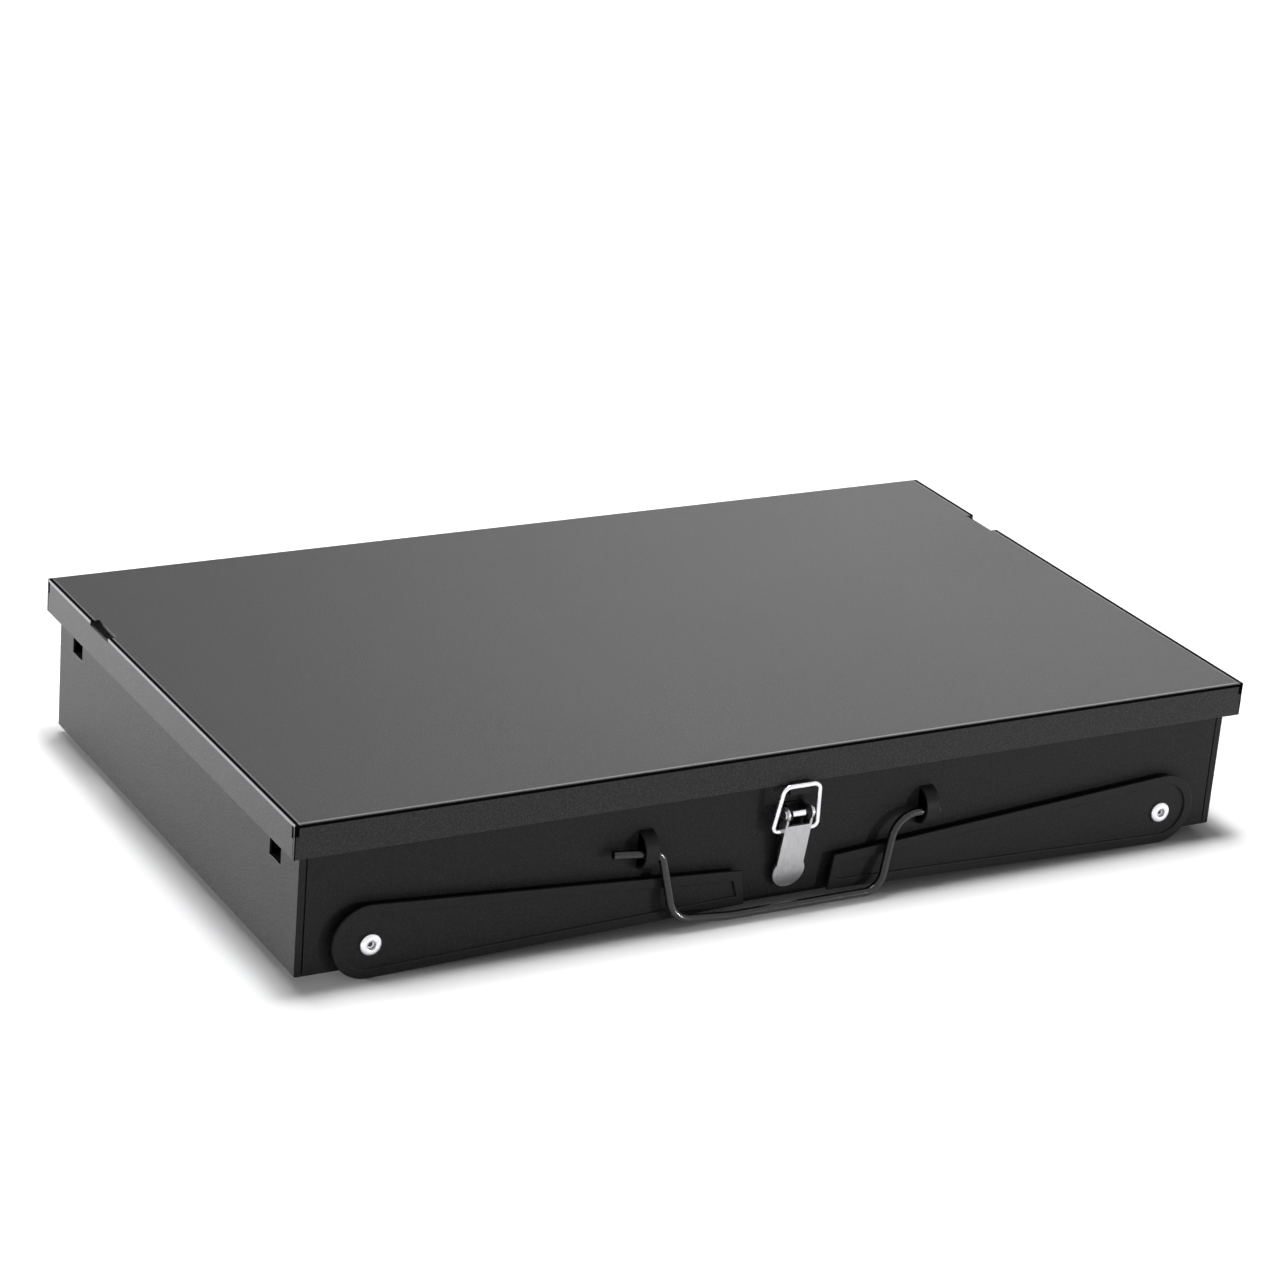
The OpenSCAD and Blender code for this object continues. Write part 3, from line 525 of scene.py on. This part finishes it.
def dress(obj, body, slot, material, *nodes):
    """Gives a piece its finish and says what it rides on and replaces; the slot is not used."""
    obj.data.materials.clear()
    obj.data.materials.append(MATERIALS[material])
    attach(obj, body)
    if nodes:
        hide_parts(*nodes)
    return obj


def clean_copy(node):
    """A merged copy of a CAD node's mesh, its flat triangles joined into whole faces."""
    source = bmesh.new()
    source.from_mesh(NODES[node].data)
    bmesh.ops.remove_doubles(source, verts=source.verts, dist=WELD)
    bmesh.ops.dissolve_limit(source, angle_limit=math.radians(0.6), use_dissolve_boundaries=False,
                             verts=source.verts, edges=source.edges)
    return source


def softened(node, name, weigh, width, segments, smooth=40.0):
    """A CAD node's shape with its edges rounded: weigh(edge) is each edge's share of width."""
    work = clean_copy(node)
    layer = work.edges.layers.float.new("bevel_weight_edge")
    for edge in work.edges:
        if len(edge.link_faces) == 2 and edge.calc_face_angle(0.0) > math.radians(28):
            edge[layer] = weigh(edge)
    mesh = bpy.data.meshes.new(name)
    work.to_mesh(mesh)
    work.free()
    obj = linked(name, mesh)
    bevel = obj.modifiers.new("Rounding", "BEVEL")
    bevel.limit_method = "WEIGHT"
    bevel.width = width
    bevel.segments = segments
    bevel.use_clamp_overlap = True
    bevel.miter_outer = "MITER_ARC"
    obj = settle(obj)
    obj.data.set_sharp_from_angle(angle=math.radians(smooth))
    for face in obj.data.polygons:
        face.use_smooth = True
    normals = obj.modifiers.new("Weighted normals", "WEIGHTED_NORMAL")
    normals.keep_sharp = True
    normals.weight = 100
    return obj


def middle_and_run(edge):
    """The middle of an edge and the way along it."""
    first, last = (vert.co for vert in edge.verts)
    return (first + last) / 2, last - first


def whole(_edge):
    """The same rounding for every edge."""
    return 1.0


def swept(name, points, radius, resolution, ring=False):
    """A mesh of round wire along points, with capped ends or closed to a ring."""
    curve = bpy.data.curves.new(name, "CURVE")
    curve.dimensions = "3D"
    curve.bevel_depth = radius
    curve.bevel_resolution = resolution
    curve.use_fill_caps = not ring
    line = curve.splines.new("POLY")
    line.points.add(len(points) - 1)
    line.use_cyclic_u = ring
    for spot, point in zip(line.points, points):
        spot.co = (*point, 1.0)
    return settle(linked(name, curve))


def wire_piece(name, points, radius):
    """A round wire along points, with rounded ends."""
    obj = swept(name, points, radius, 6)
    work = bmesh.new()
    work.from_mesh(obj.data)
    bmesh.ops.remove_doubles(work, verts=work.verts, dist=0.005 * MM)
    rims = [edge for edge in work.edges
            if edge.is_manifold and edge.calc_face_angle(0.0) > math.radians(60)]
    bmesh.ops.bevel(work, geom=rims, offset=0.28 * radius, segments=3, profile=0.5,
                    affect="EDGES", clamp_overlap=True)
    bmesh.ops.recalc_face_normals(work, faces=work.faces)
    work.to_mesh(obj.data)
    work.free()
    smoothed(obj.data, 50)
    return obj


def bent(corners, radii, steps=14):
    """Points of a wire in the XZ plane: corners as (x, z), each rounded by its radius."""
    corners = [Vector((x, 0.0, z)) for x, z in corners]
    path = [corners[0]]
    for before, here, after, radius in zip(corners, corners[1:], corners[2:], radii):
        way_in = (here - before).normalized()
        way_out = (after - here).normalized()
        turn = way_in.angle(way_out)
        inward = (way_out - way_in * way_in.dot(way_out)).normalized()
        centre = here - way_in * radius * math.tan(turn / 2) + inward * radius
        for i in range(steps + 1):
            angle = turn * i / steps
            path.append(centre - inward * radius * math.cos(angle)
                        + way_in * radius * math.sin(angle))
    return path + [corners[-1]]


# ---------- repeats by nodes

def tree_with_inputs(name, **kinds):
    """A new Geometry Nodes tree and its inputs: the geometry and others by name and kind."""
    tree = bpy.data.node_groups.new(name, "GeometryNodeTree")
    tree.interface.new_socket("Geometry", in_out="INPUT", socket_type="NodeSocketGeometry")
    tree.interface.new_socket("Geometry", in_out="OUTPUT", socket_type="NodeSocketGeometry")
    for label, kind in kinds.items():
        tree.interface.new_socket(label, in_out="INPUT", socket_type="NodeSocket" + kind)
    source = tree.nodes.new("NodeGroupInput")
    return tree, {label: Socket(tree, source.outputs[label]) for label in ("Geometry", *kinds)}


def spread_over(tree, finish, **inputs):
    """Ends a tree: an instance on every point, made real and given its finish."""
    spread = add_node(tree, "GeometryNodeInstanceOnPoints", {}, inputs)
    real = add_node(tree, "GeometryNodeRealizeInstances", {}, {"Geometry": spread})
    done = add_node(tree, "GeometryNodeSetMaterial", {}, {"Geometry": real, "Material": finish})
    end_tree(tree, "NodeGroupOutput", "Geometry", done)
    return tree


def grown(name, mesh, tree, values):
    """A mesh put through a Geometry Nodes tree, with values for its inputs, and made plain."""
    obj = linked(name, mesh)
    modifier = obj.modifiers.new("Repeat", "NODES")
    modifier.node_group = tree
    for item in tree.interface.items_tree:
        if item.in_out == "INPUT" and item.name in values:
            modifier[item.identifier] = values[item.name]
    return settle(obj)


def profile_mesh(name, profile, turns):
    """A closed turned shape from (radius, height) pairs; its axis is local Z."""
    work = bmesh.new()
    rings = []
    for radius, height in profile:
        around = [2 * math.pi * k / turns for k in range(turns if radius else 1)]
        rings.append([work.verts.new((radius * math.cos(angle), radius * math.sin(angle), height))
                      for angle in around])
    for low, high in zip(rings, rings[1:]):
        for k in range(turns):
            n = (k + 1) % turns
            if len(low) == 1:
                work.faces.new((low[0], high[n], high[k]))
            elif len(high) == 1:
                work.faces.new((low[k], low[n], high[0]))
            else:
                work.faces.new((low[k], low[n], high[n], high[k]))
    bmesh.ops.recalc_face_normals(work, faces=work.faces)
    mesh = bpy.data.meshes.new(name)
    work.to_mesh(mesh)
    work.free()
    return mesh


def riveting_tree():
    """Puts one rivet on each point of a mesh, turned to the point's own facing."""
    tree, given = tree_with_inputs("Rivets on points", Rivet="Object", Finish="Material")
    rivet = add_node(tree, "GeometryNodeObjectInfo", {}, {"Object": given["Rivet"]}, "Geometry")
    facing = add_node(tree, "GeometryNodeInputNamedAttribute", {"data_type": "FLOAT_VECTOR"},
                      {"Name": "facing"}, "Attribute")
    turn = add_node(tree, "FunctionNodeAlignRotationToVector", {"axis": "Z"}, {"Vector": facing})
    return spread_over(tree, given["Finish"], Points=given["Geometry"], Instance=rivet,
                       Rotation=turn)


def riveted(name, spots, shape, material):
    """One mesh of the same rivet at several (place, facing) spots."""
    mesh = bpy.data.meshes.new(name)
    mesh.from_pydata([tuple(place) for place, _ in spots], [], [])
    data = mesh.attributes.new("facing", "FLOAT_VECTOR", "POINT")
    for item, (_, facing) in zip(data.data, spots):
        item.vector = tuple(facing)
    pattern = linked(name + "_pattern", shape)
    tree = bpy.data.node_groups.get("Rivets on points") or riveting_tree()
    obj = grown(name, mesh, tree, {"Rivet": pattern, "Finish": MATERIALS[material]})
    bpy.data.objects.remove(pattern)
    smoothed(obj.data, 45)
    return obj


def outward(front):
    """The way that a front or a back rivet's head faces."""
    return Vector((0.0, -1.0 if front else 1.0, 0.0))


def loose_solids(node):
    """The corners of each separate solid of a CAD node."""
    work = bmesh.new()
    work.from_mesh(NODES[node].data)
    bmesh.ops.remove_doubles(work, verts=work.verts, dist=WELD)
    solids, seen = [], set()
    for vert in work.verts:
        if vert in seen:
            continue
        solid, stack = [], [vert]
        seen.add(vert)
        while stack:
            here = stack.pop()
            solid.append(tuple(here.co))
            for edge in here.link_edges:
                other = edge.other_vert(here)
                if other not in seen:
                    seen.add(other)
                    stack.append(other)
        solids.append(solid)
    work.free()
    return solids


def rod_tree():
    """Straight rods along Y, side by side along X round a middle."""
    tree, given = tree_with_inputs("Grid rods", Count="Int", Pitch="Float", Length="Float",
                                   Radius="Float", Middle="Vector", Finish="Material")

    def along(axis, value):
        return add_node(tree, "ShaderNodeCombineXYZ", {}, {axis: value})

    width = (given["Count"] - 1.0) * given["Pitch"]
    start = add_node(tree, "ShaderNodeVectorMath", {"operation": "ADD"},
                     {0: along("X", width * -0.5), 1: given["Middle"]})
    line = add_node(tree, "GeometryNodeMeshLine", {"mode": "OFFSET"},
                    {"Count": given["Count"], "Start Location": start,
                     "Offset": along("X", given["Pitch"])})
    core = add_node(tree, "GeometryNodeCurvePrimitiveLine", {},
                    {"Start": along("Y", given["Length"] * -0.5),
                     "End": along("Y", given["Length"] * 0.5)})
    ring = add_node(tree, "GeometryNodeCurvePrimitiveCircle", {},
                    {"Resolution": 14, "Radius": given["Radius"]})
    rod = add_node(tree, "GeometryNodeCurveToMesh", {},
                   {"Curve": core, "Profile Curve": ring, "Fill Caps": True})
    return spread_over(tree, given["Finish"], Points=line, Instance=rod)


# ---------- operators

class BARBECUE_OT_lid(bpy.types.Operator):
    """Build the lid with rolled bends along its top and fine cut edges below"""

    bl_idname = "barbecue.lid"
    bl_label = "Lid"

    def execute(self, context):
        sizes = context.scene.barbecue_sheet
        low, high = LID_BOX
        cut = sizes.cut_edge / sizes.top_bend

        def weigh(edge):
            middle, run = middle_and_run(edge)
            level = abs(run.z) < 0.01 * MM
            on_side = near(middle.x, low.x, high.x) or near(middle.y, low.y, high.y)
            on_top = middle.z > high.z - NEAR
            return 1.0 if level and on_side and on_top and run.length > LONG_EDGE else cut

        lid = softened("lid_shell", "lid", weigh, sizes.top_bend, 4)
        dress(lid, "lid", "black_paint", "lid_coat", "lid_shell")
        return {"FINISHED"}


class BARBECUE_OT_tray(bpy.types.Operator):
    """Build the tray's floor and walls, with its pressed-out handle bridges, and both sides"""

    bl_idname = "barbecue.tray"
    bl_label = "Tray"

    def execute(self, context):
        sizes = context.scene.barbecue_sheet
        bend = sizes.top_bend
        cut = sizes.cut_edge / bend

        def weigh(edge):
            middle, run = middle_and_run(edge)
            at_wall = near(middle.y, FRONT_Y, REAR_Y) or near(abs(middle.x), SIDE_X)
            on_floor = near(middle.z, FLOOR_Z)
            return 1.0 if on_floor and at_wall and run.length > LONG_EDGE else cut

        pan = softened("tray_pan", "tray", weigh, bend, 4)
        dress(pan, "tray", "black_paint", "coat", "tray_pan")
        for side in ("left", "right"):
            wall = softened(f"side_wall_{side}", f"tray_side_{side}", weigh, bend, 3)
            dress(wall, "tray", "black_paint", "coat", f"side_wall_{side}")
        return {"FINISHED"}


class BARBECUE_OT_legs(bpy.types.Operator):
    """Build the four pressed legs with their raised borders"""

    bl_idname = "barbecue.legs"
    bl_label = "Legs"

    def execute(self, context):
        sizes = context.scene.barbecue_sheet
        cut = sizes.leg_edge / sizes.press_edge
        for node in LEG_NODES:
            low, high = (Vector(c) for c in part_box(node))
            face = low.y if "front" in node else high.y

            def weigh(edge, face=face):
                return 1.0 if near(middle_and_run(edge)[0].y, face) else cut

            leg = softened(node, node + "_pressing", weigh, sizes.press_edge, 3, 50.0)
            dress(leg, node, "black_paint", "coat", node)
        return {"FINISHED"}


class BARBECUE_OT_handle(bpy.types.Operator):
    """Bend the carrying handle from round wire"""

    bl_idname = "barbecue.handle"
    bl_label = "Handle"

    def execute(self, context):
        sizes = context.scene.barbecue_wire
        drop = sizes.handle_drop
        path = bent([(-sizes.handle_ends[0], sizes.tail_rise), (-sizes.arm_tops[0], 0.0),
                     (-sizes.grip_ends[0], sizes.grip_rise - drop), (-sizes.grip_knee, -drop),
                     (sizes.grip_ends[1], -drop), (sizes.arm_tops[1], 0.0),
                     (sizes.handle_ends[1], 0.0)],
                    [sizes.arm_bends[0], sizes.grip_bend, sizes.knee_bend, sizes.grip_bend,
                     sizes.arm_bends[1]])
        turn = Matrix.Rotation(-sizes.handle_tilt, 4, "X")
        pivot = Vector((0.0, FRONT_Y - sizes.handle_pivot_out,
                        FLOOR_Z + sizes.handle_pivot_height))
        path = [turn @ point + pivot for point in path]
        handle = wire_piece("carrying_handle", path, sizes.handle_diameter / 2)
        dress(handle, "handle", "gloss_paint", "wire", "handle_wire")
        return {"FINISHED"}


class BARBECUE_OT_latch(bpy.types.Operator):
    """Build the latch: base, lever, wire loop and the hook on the lid"""

    bl_idname = "barbecue.latch"
    bl_label = "Latch"

    def execute(self, context):
        edge = context.scene.barbecue_sheet.latch_edge
        lever = softened("latch_lever", "lever", whole, edge, 3, 50.0)
        dress(lever, "latch_lever", "satin_steel", "lever", "latch_lever")
        base = softened("latch_base", "latch_mount", whole, edge, 2, 50.0)
        dress(base, "tray", "black_paint", "coat", "latch_base")
        hook = softened("latch_keeper", "lid_hook", whole, edge, 2, 50.0)
        dress(hook, "lid", "black_paint", "coat", "latch_keeper")
        self.make_loop(context.scene.barbecue_wire)
        return {"FINISHED"}

    def make_loop(self, sizes):
        """Bends the loop that draws the lid down."""
        low, high = (Vector(c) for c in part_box("latch_loop"))
        pin_low, pin_high = (Vector(c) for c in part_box("latch_pin"))
        foot, top = (width / 2 for width in sizes.loop_widths)
        length, wire, end = sizes.loop_length, sizes.loop_diameter / 2, sizes.loop_end
        bends = list(sizes.loop_bends)
        path = bent([(-end, 0.0), (-foot, 0.0), (-top, length), (top, length), (foot, 0.0),
                     (end, 0.0)], bends + bends[::-1], 10)
        turn = Matrix.Rotation(sizes.loop_lean, 4, "X")
        pivot = Vector(((pin_low.x + pin_high.x) / 2, high.y - wire, low.z + wire))
        path = [turn @ point + pivot for point in path]
        loop = wire_piece("loop", path, wire)
        dress(loop, "latch_loop", "chrome", "bright", "latch_loop")


class BARBECUE_OT_rivets(bpy.types.Operator):
    """Set every rivet: hollow ones on the legs, domed ones on the hinges and latch"""

    bl_idname = "barbecue.rivets"
    bl_label = "Rivets"

    def execute(self, context):
        sizes = context.scene.barbecue_rivets
        for node in LEG_NODES:
            self.leg_rivet(node.replace("leg_", "leg_rivet_"), sizes)
        for node, body, slot, finish in (
                ("hinge_lower_rivets", "tray", "zinc_steel", "zinc"),
                ("hinge_upper_rivets", "lid", "zinc_steel", "zinc"),
                ("latch_base_rivets", "tray", "black_paint", "coat")):
            self.small_rivets(node, body, slot, finish, sizes)
        return {"FINISHED"}

    def leg_rivet(self, node, sizes):
        """One hollow rivet with a rolled rim, and its tail inside the tray."""
        low, high = (Vector(c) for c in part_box(node))
        centre = (low + high) / 2
        front = "front" in node
        back = low.y - high.y
        head, hollow, height, shank = (sizes.leg_head, sizes.leg_hollow, sizes.leg_rise,
                                       sizes.leg_shank)
        tail, brim, round_over = back + 1.2 * MM, -height + 0.40 * MM, 1.9 * MM
        profile = [(0.0, back), (head * 0.8, back), (head, back + 0.4 * MM),
                   (head, back + 0.9 * MM), (head * 0.8, tail), (shank, tail),
                   (shank, -height), (head * 0.96, -height), (head, -height + 0.12 * MM),
                   (head, brim)]
        for i in range(1, DOME_STEPS + 1):
            angle = math.pi / 2 * i / DOME_STEPS
            profile.append((head - round_over * (1 - math.cos(angle)),
                            brim * (1 - math.sin(angle))))
        profile += [(hollow + 0.9 * MM, -0.02 * MM), (hollow + 0.35 * MM, -0.16 * MM),
                    (hollow, -0.5 * MM), (hollow * 0.94, -height * 0.98), (0.0, -height * 0.99)]
        place = Vector((centre.x, low.y if front else high.y, centre.z))
        obj = riveted(node.replace("rivet", "stud"), [(place, outward(front))],
                      profile_mesh(node + "_turned", profile, 48), "rivet")
        dress(obj, "tray", "chrome", "rivet", node)

    def small_rivets(self, node, body, slot, finish, sizes):
        """Domed rivets where the CAD node has them, found from its loose solids."""
        front = node.startswith("latch")
        places = []
        for solid in loose_solids(node):
            xs, ys, zs = zip(*solid)
            tip = min(ys) if front else max(ys)
            back = min(ys) - max(ys)
            places.append((Vector(((min(xs) + max(xs)) / 2, tip, (min(zs) + max(zs)) / 2)),
                           outward(front)))
        head, height, shank = sizes.small_head, sizes.small_rise, sizes.small_shank
        tail, brim = back + 0.8 * MM, -height + 0.12 * MM
        profile = [(0.0, back), (head * 0.7, back), (head * 0.82, back + 0.2 * MM),
                   (head * 0.82, tail), (shank, tail), (shank, -height), (head, -height)]
        for i in range(1, DOME_STEPS + 1):
            angle = math.pi / 2 * i / DOME_STEPS
            profile.append((head * math.cos(angle) if i < DOME_STEPS else 0.0,
                            brim * (1 - math.sin(angle))))
        obj = riveted(node.replace("rivets", "studs"), places,
                      profile_mesh(node + "_turned", profile, 32), finish)
        dress(obj, body, slot, finish, node)


class BARBECUE_OT_hinges(bpy.types.Operator):
    """Finish the hinge leaves with rounded edges"""

    bl_idname = "barbecue.hinges"
    bl_label = "Hinges"

    def execute(self, context):
        edge = context.scene.barbecue_sheet.hinge_edge
        for side in ("left", "right"):
            for part, body in (("lower", "tray"), ("upper", "lid")):
                node = f"hinge_leaf_{part}_{side}"
                leaf = softened(node, f"hinge_plate_{part}_{side}", whole, edge, 2, 50.0)
                dress(leaf, body, "zinc_steel", "zinc", node)
        return {"FINISHED"}


class BARBECUE_OT_grid(bpy.types.Operator):
    """Weld the cooking grid from a wire frame, cross wires and a row of rods"""

    bl_idname = "barbecue.grid"
    bl_label = "Cooking grid"

    def execute(self, context):
        sizes = context.scene.barbecue_grid
        low, high = (Vector(c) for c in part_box("cooking_grid"))
        wire, rod, corner = sizes.frame_wire / 2, sizes.rod_wire / 2, sizes.frame_bend
        level = high.z - wire
        x, y = high.x - wire, (high.y - low.y) / 2 - wire
        path = []
        for sx, sy, start in ((1, 1, 0), (-1, 1, 90), (-1, -1, 180), (1, -1, 270)):
            for i in range(9):
                angle = math.radians(start + 90 * i / 8)
                path.append(Vector((sx * (x - corner) + corner * math.cos(angle),
                                    MIDDLE_Y + sy * (y - corner) + corner * math.sin(angle),
                                    level)))
        parts = [swept("cooking_grid_rim", path, wire, 4, True)]
        for sy in (-1, 1):
            across = [Vector((sx * x, MIDDLE_Y + sy * y / 2, level - rod * 1.4))
                      for sx in (-1, 1)]
            parts.append(wire_piece(f"cooking_grid_cross_{sy + 1}", across, rod))
        count = int(2 * (x - sizes.rod_margin) / sizes.rod_pitch) + 1
        empty = bpy.data.meshes.new("cooking_grid_rods")
        parts.append(grown("cooking_grid_rods", empty, rod_tree(), {
            "Count": count, "Pitch": sizes.rod_pitch, "Length": 2 * y, "Radius": rod,
            "Middle": (0.0, MIDDLE_Y, level), "Finish": MATERIALS["grid"]}))
        work = bmesh.new()
        for part in parts:
            work.from_mesh(part.data)
            bpy.data.objects.remove(part)
        mesh = bpy.data.meshes.new("grid")
        work.to_mesh(mesh)
        work.free()
        smoothed(mesh, 50)
        dress(linked("grid", mesh), "tray", "grid_chrome", "grid", "cooking_grid")
        return {"FINISHED"}


class BARBECUE_OT_plain_parts(bpy.types.Operator):
    """Give the parts whose CAD shape is already right their finish"""

    bl_idname = "barbecue.plain_parts"
    bl_label = "Pins, washers and coal grate"

    def execute(self, context):
        for name, obj in NODES.items():
            if name.startswith("leg_washer") or name.startswith("hinge_pin"):
                finish = "zinc"
            elif name == "latch_pin":
                finish = "bright"
            elif name == "coal_grate":
                finish = "grate"
            else:
                continue
            for place in obj.material_slots:
                place.material = MATERIALS[finish]
        return {"FINISHED"}


class BARBECUE_OT_stage(bpy.types.Operator):
    """Set the white floor and backdrop, the soft lamps and the camera"""

    bl_idname = "barbecue.stage"
    bl_label = "Stage"

    def execute(self, context):
        self.floor()
        self.world(context.scene)
        self.lamps()
        self.camera(context.scene)
        context.scene.view_settings.view_transform = "Standard"
        return {"FINISHED"}

    def floor(self):
        """A large pale floor that shows white beside the object's shadow, with a painted shadow:
        its white glow is cut round the object's footprint, dimmed in a patch to the left and
        weaker towards the object.
        """
        mesh = bpy.data.meshes.new("floor")
        reach = 6.0
        mesh.from_pydata([(-reach, -reach, 0.0), (reach, -reach, 0.0), (reach, reach, 0.0),
                          (-reach, reach, 0.0)], [], [(0, 1, 2, 3)])
        floor = linked("floor", mesh)
        material = bpy.data.materials.new("white_floor")
        material.use_nodes = True
        tree = material.node_tree
        tree.nodes.clear()
        matte = add_node(tree, "ShaderNodeBsdfDiffuse", {}, {"Color": (0.86, 0.86, 0.87)})
        place = add_node(tree, "ShaderNodeTexCoord", {}, {}, "Object")
        x, y = place.axis("X"), place.axis("Y")
        low, high = LID_BOX
        beyond_x = (x - (low.x + high.x) / 2).math("ABSOLUTE") - (high.x - low.x) / 2
        beyond_y = (y - (low.y + high.y) / 2).math("ABSOLUTE") - (high.y - low.y) / 2
        away = (beyond_x.math("MAXIMUM", 0.0) ** 2.0 + beyond_y.math("MAXIMUM", 0.0) ** 2.0) ** 0.5
        # middle and reach of a painted shadow patch on the floor, to the object's left
        shadow_patch_x, shadow_patch_y, shadow_patch_end = -0.31, -0.04, 0.26
        from_shadow_patch = ((x - shadow_patch_x) ** 2.0 + (y - shadow_patch_y) ** 2.0) ** 0.5
        # painted shadow: no glow over the footprint, rising within 12 mm of it, dimmed in the
        # patch and weaker near the object
        glow_outside_painted_shadow = away.ramp(0.0, 12 * MM) * from_shadow_patch.ramp(0.0, shadow_patch_end, 0.35, 1.0)
        glow_outside_painted_shadow *= away.ramp(0.1, 1.6, 0.36, 1.0)
        black, white = (add_node(tree, "ShaderNodeEmission", {},
                                 {"Color": (light, light, light), "Strength": light})
                        for light in (0.0, 1.0))
        glow = add_node(tree, "ShaderNodeMixShader", {},
                        {0: seen_rays(tree) * glow_outside_painted_shadow, 1: black, 2: white})
        both = add_node(tree, "ShaderNodeAddShader", {}, {0: matte, 1: glow})
        end_tree(tree, "ShaderNodeOutputMaterial", "Surface", both)
        mesh.materials.append(material)

    def world(self, scene):
        """An even grey surround, seen as white by the camera and in reflections."""
        world = bpy.data.worlds.new("surround")
        scene.world = world
        world.use_nodes = True
        tree = world.node_tree
        tree.nodes.clear()
        dim, white = (add_node(tree, "ShaderNodeBackground", {},
                               {"Color": (1.0, 1.0, 1.0), "Strength": strength})
                      for strength in (0.09, 1.0))
        both = add_node(tree, "ShaderNodeMixShader", {}, {0: seen_rays(tree), 1: dim, 2: white})
        end_tree(tree, "ShaderNodeOutputWorld", "Surface", both)

    def lamps(self):
        """Large soft lamps behind, left and above, and a small one at the front right."""
        target = Vector((0.0, 0.0, 35 * MM))
        for name, place, size, power in (
                ("back_softbox", (1.90, 2.30, 1.15), (1.6, 1.0), 24.0),
                ("left_softbox", (-1.6, 1.7, 0.12), (1.4, 0.22), 145.0),
                ("top_softbox", (-0.05, 0.28, 2.2), (0.8, 0.7), 46.0),
                ("front_key", (1.20, -1.60, 0.12), (0.14, 0.14), 12.0)):
            lamp = bpy.data.lights.new(name, "AREA")
            lamp.shape = "RECTANGLE"
            lamp.size, lamp.size_y = size
            lamp.energy = power
            holder = linked(name, lamp)
            holder.location = place
            aim = target - Vector(place)
            holder.rotation_euler = aim.to_track_quat("-Z", "Y").to_euler()

    def camera(self, scene):
        """The camera, from the front left and above."""
        turn, rise, roll = math.radians(-30.27), math.radians(21.93), math.radians(4.86)
        right = Vector((math.cos(turn), math.sin(turn), 0.0))
        back = Vector((math.sin(turn) * math.cos(rise), -math.cos(turn) * math.cos(rise),
                       math.sin(rise)))
        up = back.cross(right)
        across = math.cos(roll) * right + math.sin(roll) * up
        over = -math.sin(roll) * right + math.cos(roll) * up
        distance, aside, above = 1.6611, -0.0003, 0.0611
        place = distance * back + aside * across + above * over
        place += Vector((0.0, MIDDLE_Y, FLOOR_Z))
        camera = bpy.data.cameras.new("view")
        camera.lens = 109.54
        camera.sensor_width = 36.0
        camera.clip_start = 0.05
        camera.clip_end = 50.0
        holder = linked("view", camera)
        holder.matrix_world = Matrix((
            (across.x, over.x, back.x, place.x),
            (across.y, over.y, back.y, place.y),
            (across.z, over.z, back.z, place.z),
            (0.0, 0.0, 0.0, 1.0)))
        scene.camera = holder


OPERATORS = (
    BARBECUE_OT_stage,
    BARBECUE_OT_lid,
    BARBECUE_OT_tray,
    BARBECUE_OT_legs,
    BARBECUE_OT_handle,
    BARBECUE_OT_latch,
    BARBECUE_OT_rivets,
    BARBECUE_OT_hinges,
    BARBECUE_OT_grid,
    BARBECUE_OT_plain_parts,
)


class BARBECUE_PT_panel(bpy.types.Panel):
    """Lists the barbecue's sizes, colours and building steps."""

    bl_idname = "BARBECUE_PT_panel"
    bl_label = "Folding Briefcase Barbecue"
    bl_space_type = "VIEW_3D"
    bl_region_type = "UI"
    bl_category = "Barbecue"

    def draw(self, context):
        for group, kind in GROUPS.items():
            box = self.layout.box()
            for name in kind.__annotations__:
                box.prop(getattr(context.scene, group), name)
        for operator in OPERATORS:
            self.layout.operator(operator.bl_idname)


CLASSES = (*GROUPS.values(), *OPERATORS, BARBECUE_PT_panel)


def register():
    """Registers the classes and puts their settings on the scene."""
    for cls in CLASSES:
        bpy.utils.register_class(cls)
    for name, cls in GROUPS.items():
        setattr(bpy.types.Scene, name, bpy.props.PointerProperty(type=cls))


def unregister():
    """Takes the settings and classes away again."""
    for name in GROUPS:
        delattr(bpy.types.Scene, name)
    for cls in reversed(CLASSES):
        bpy.utils.unregister_class(cls)


def main():
    register()
    make_materials(bpy.context.scene.barbecue_finish)
    for operator in OPERATORS:
        group, name = operator.bl_idname.split(".")
        getattr(getattr(bpy.ops, group), name)()


if __name__ == "__main__":
    main()
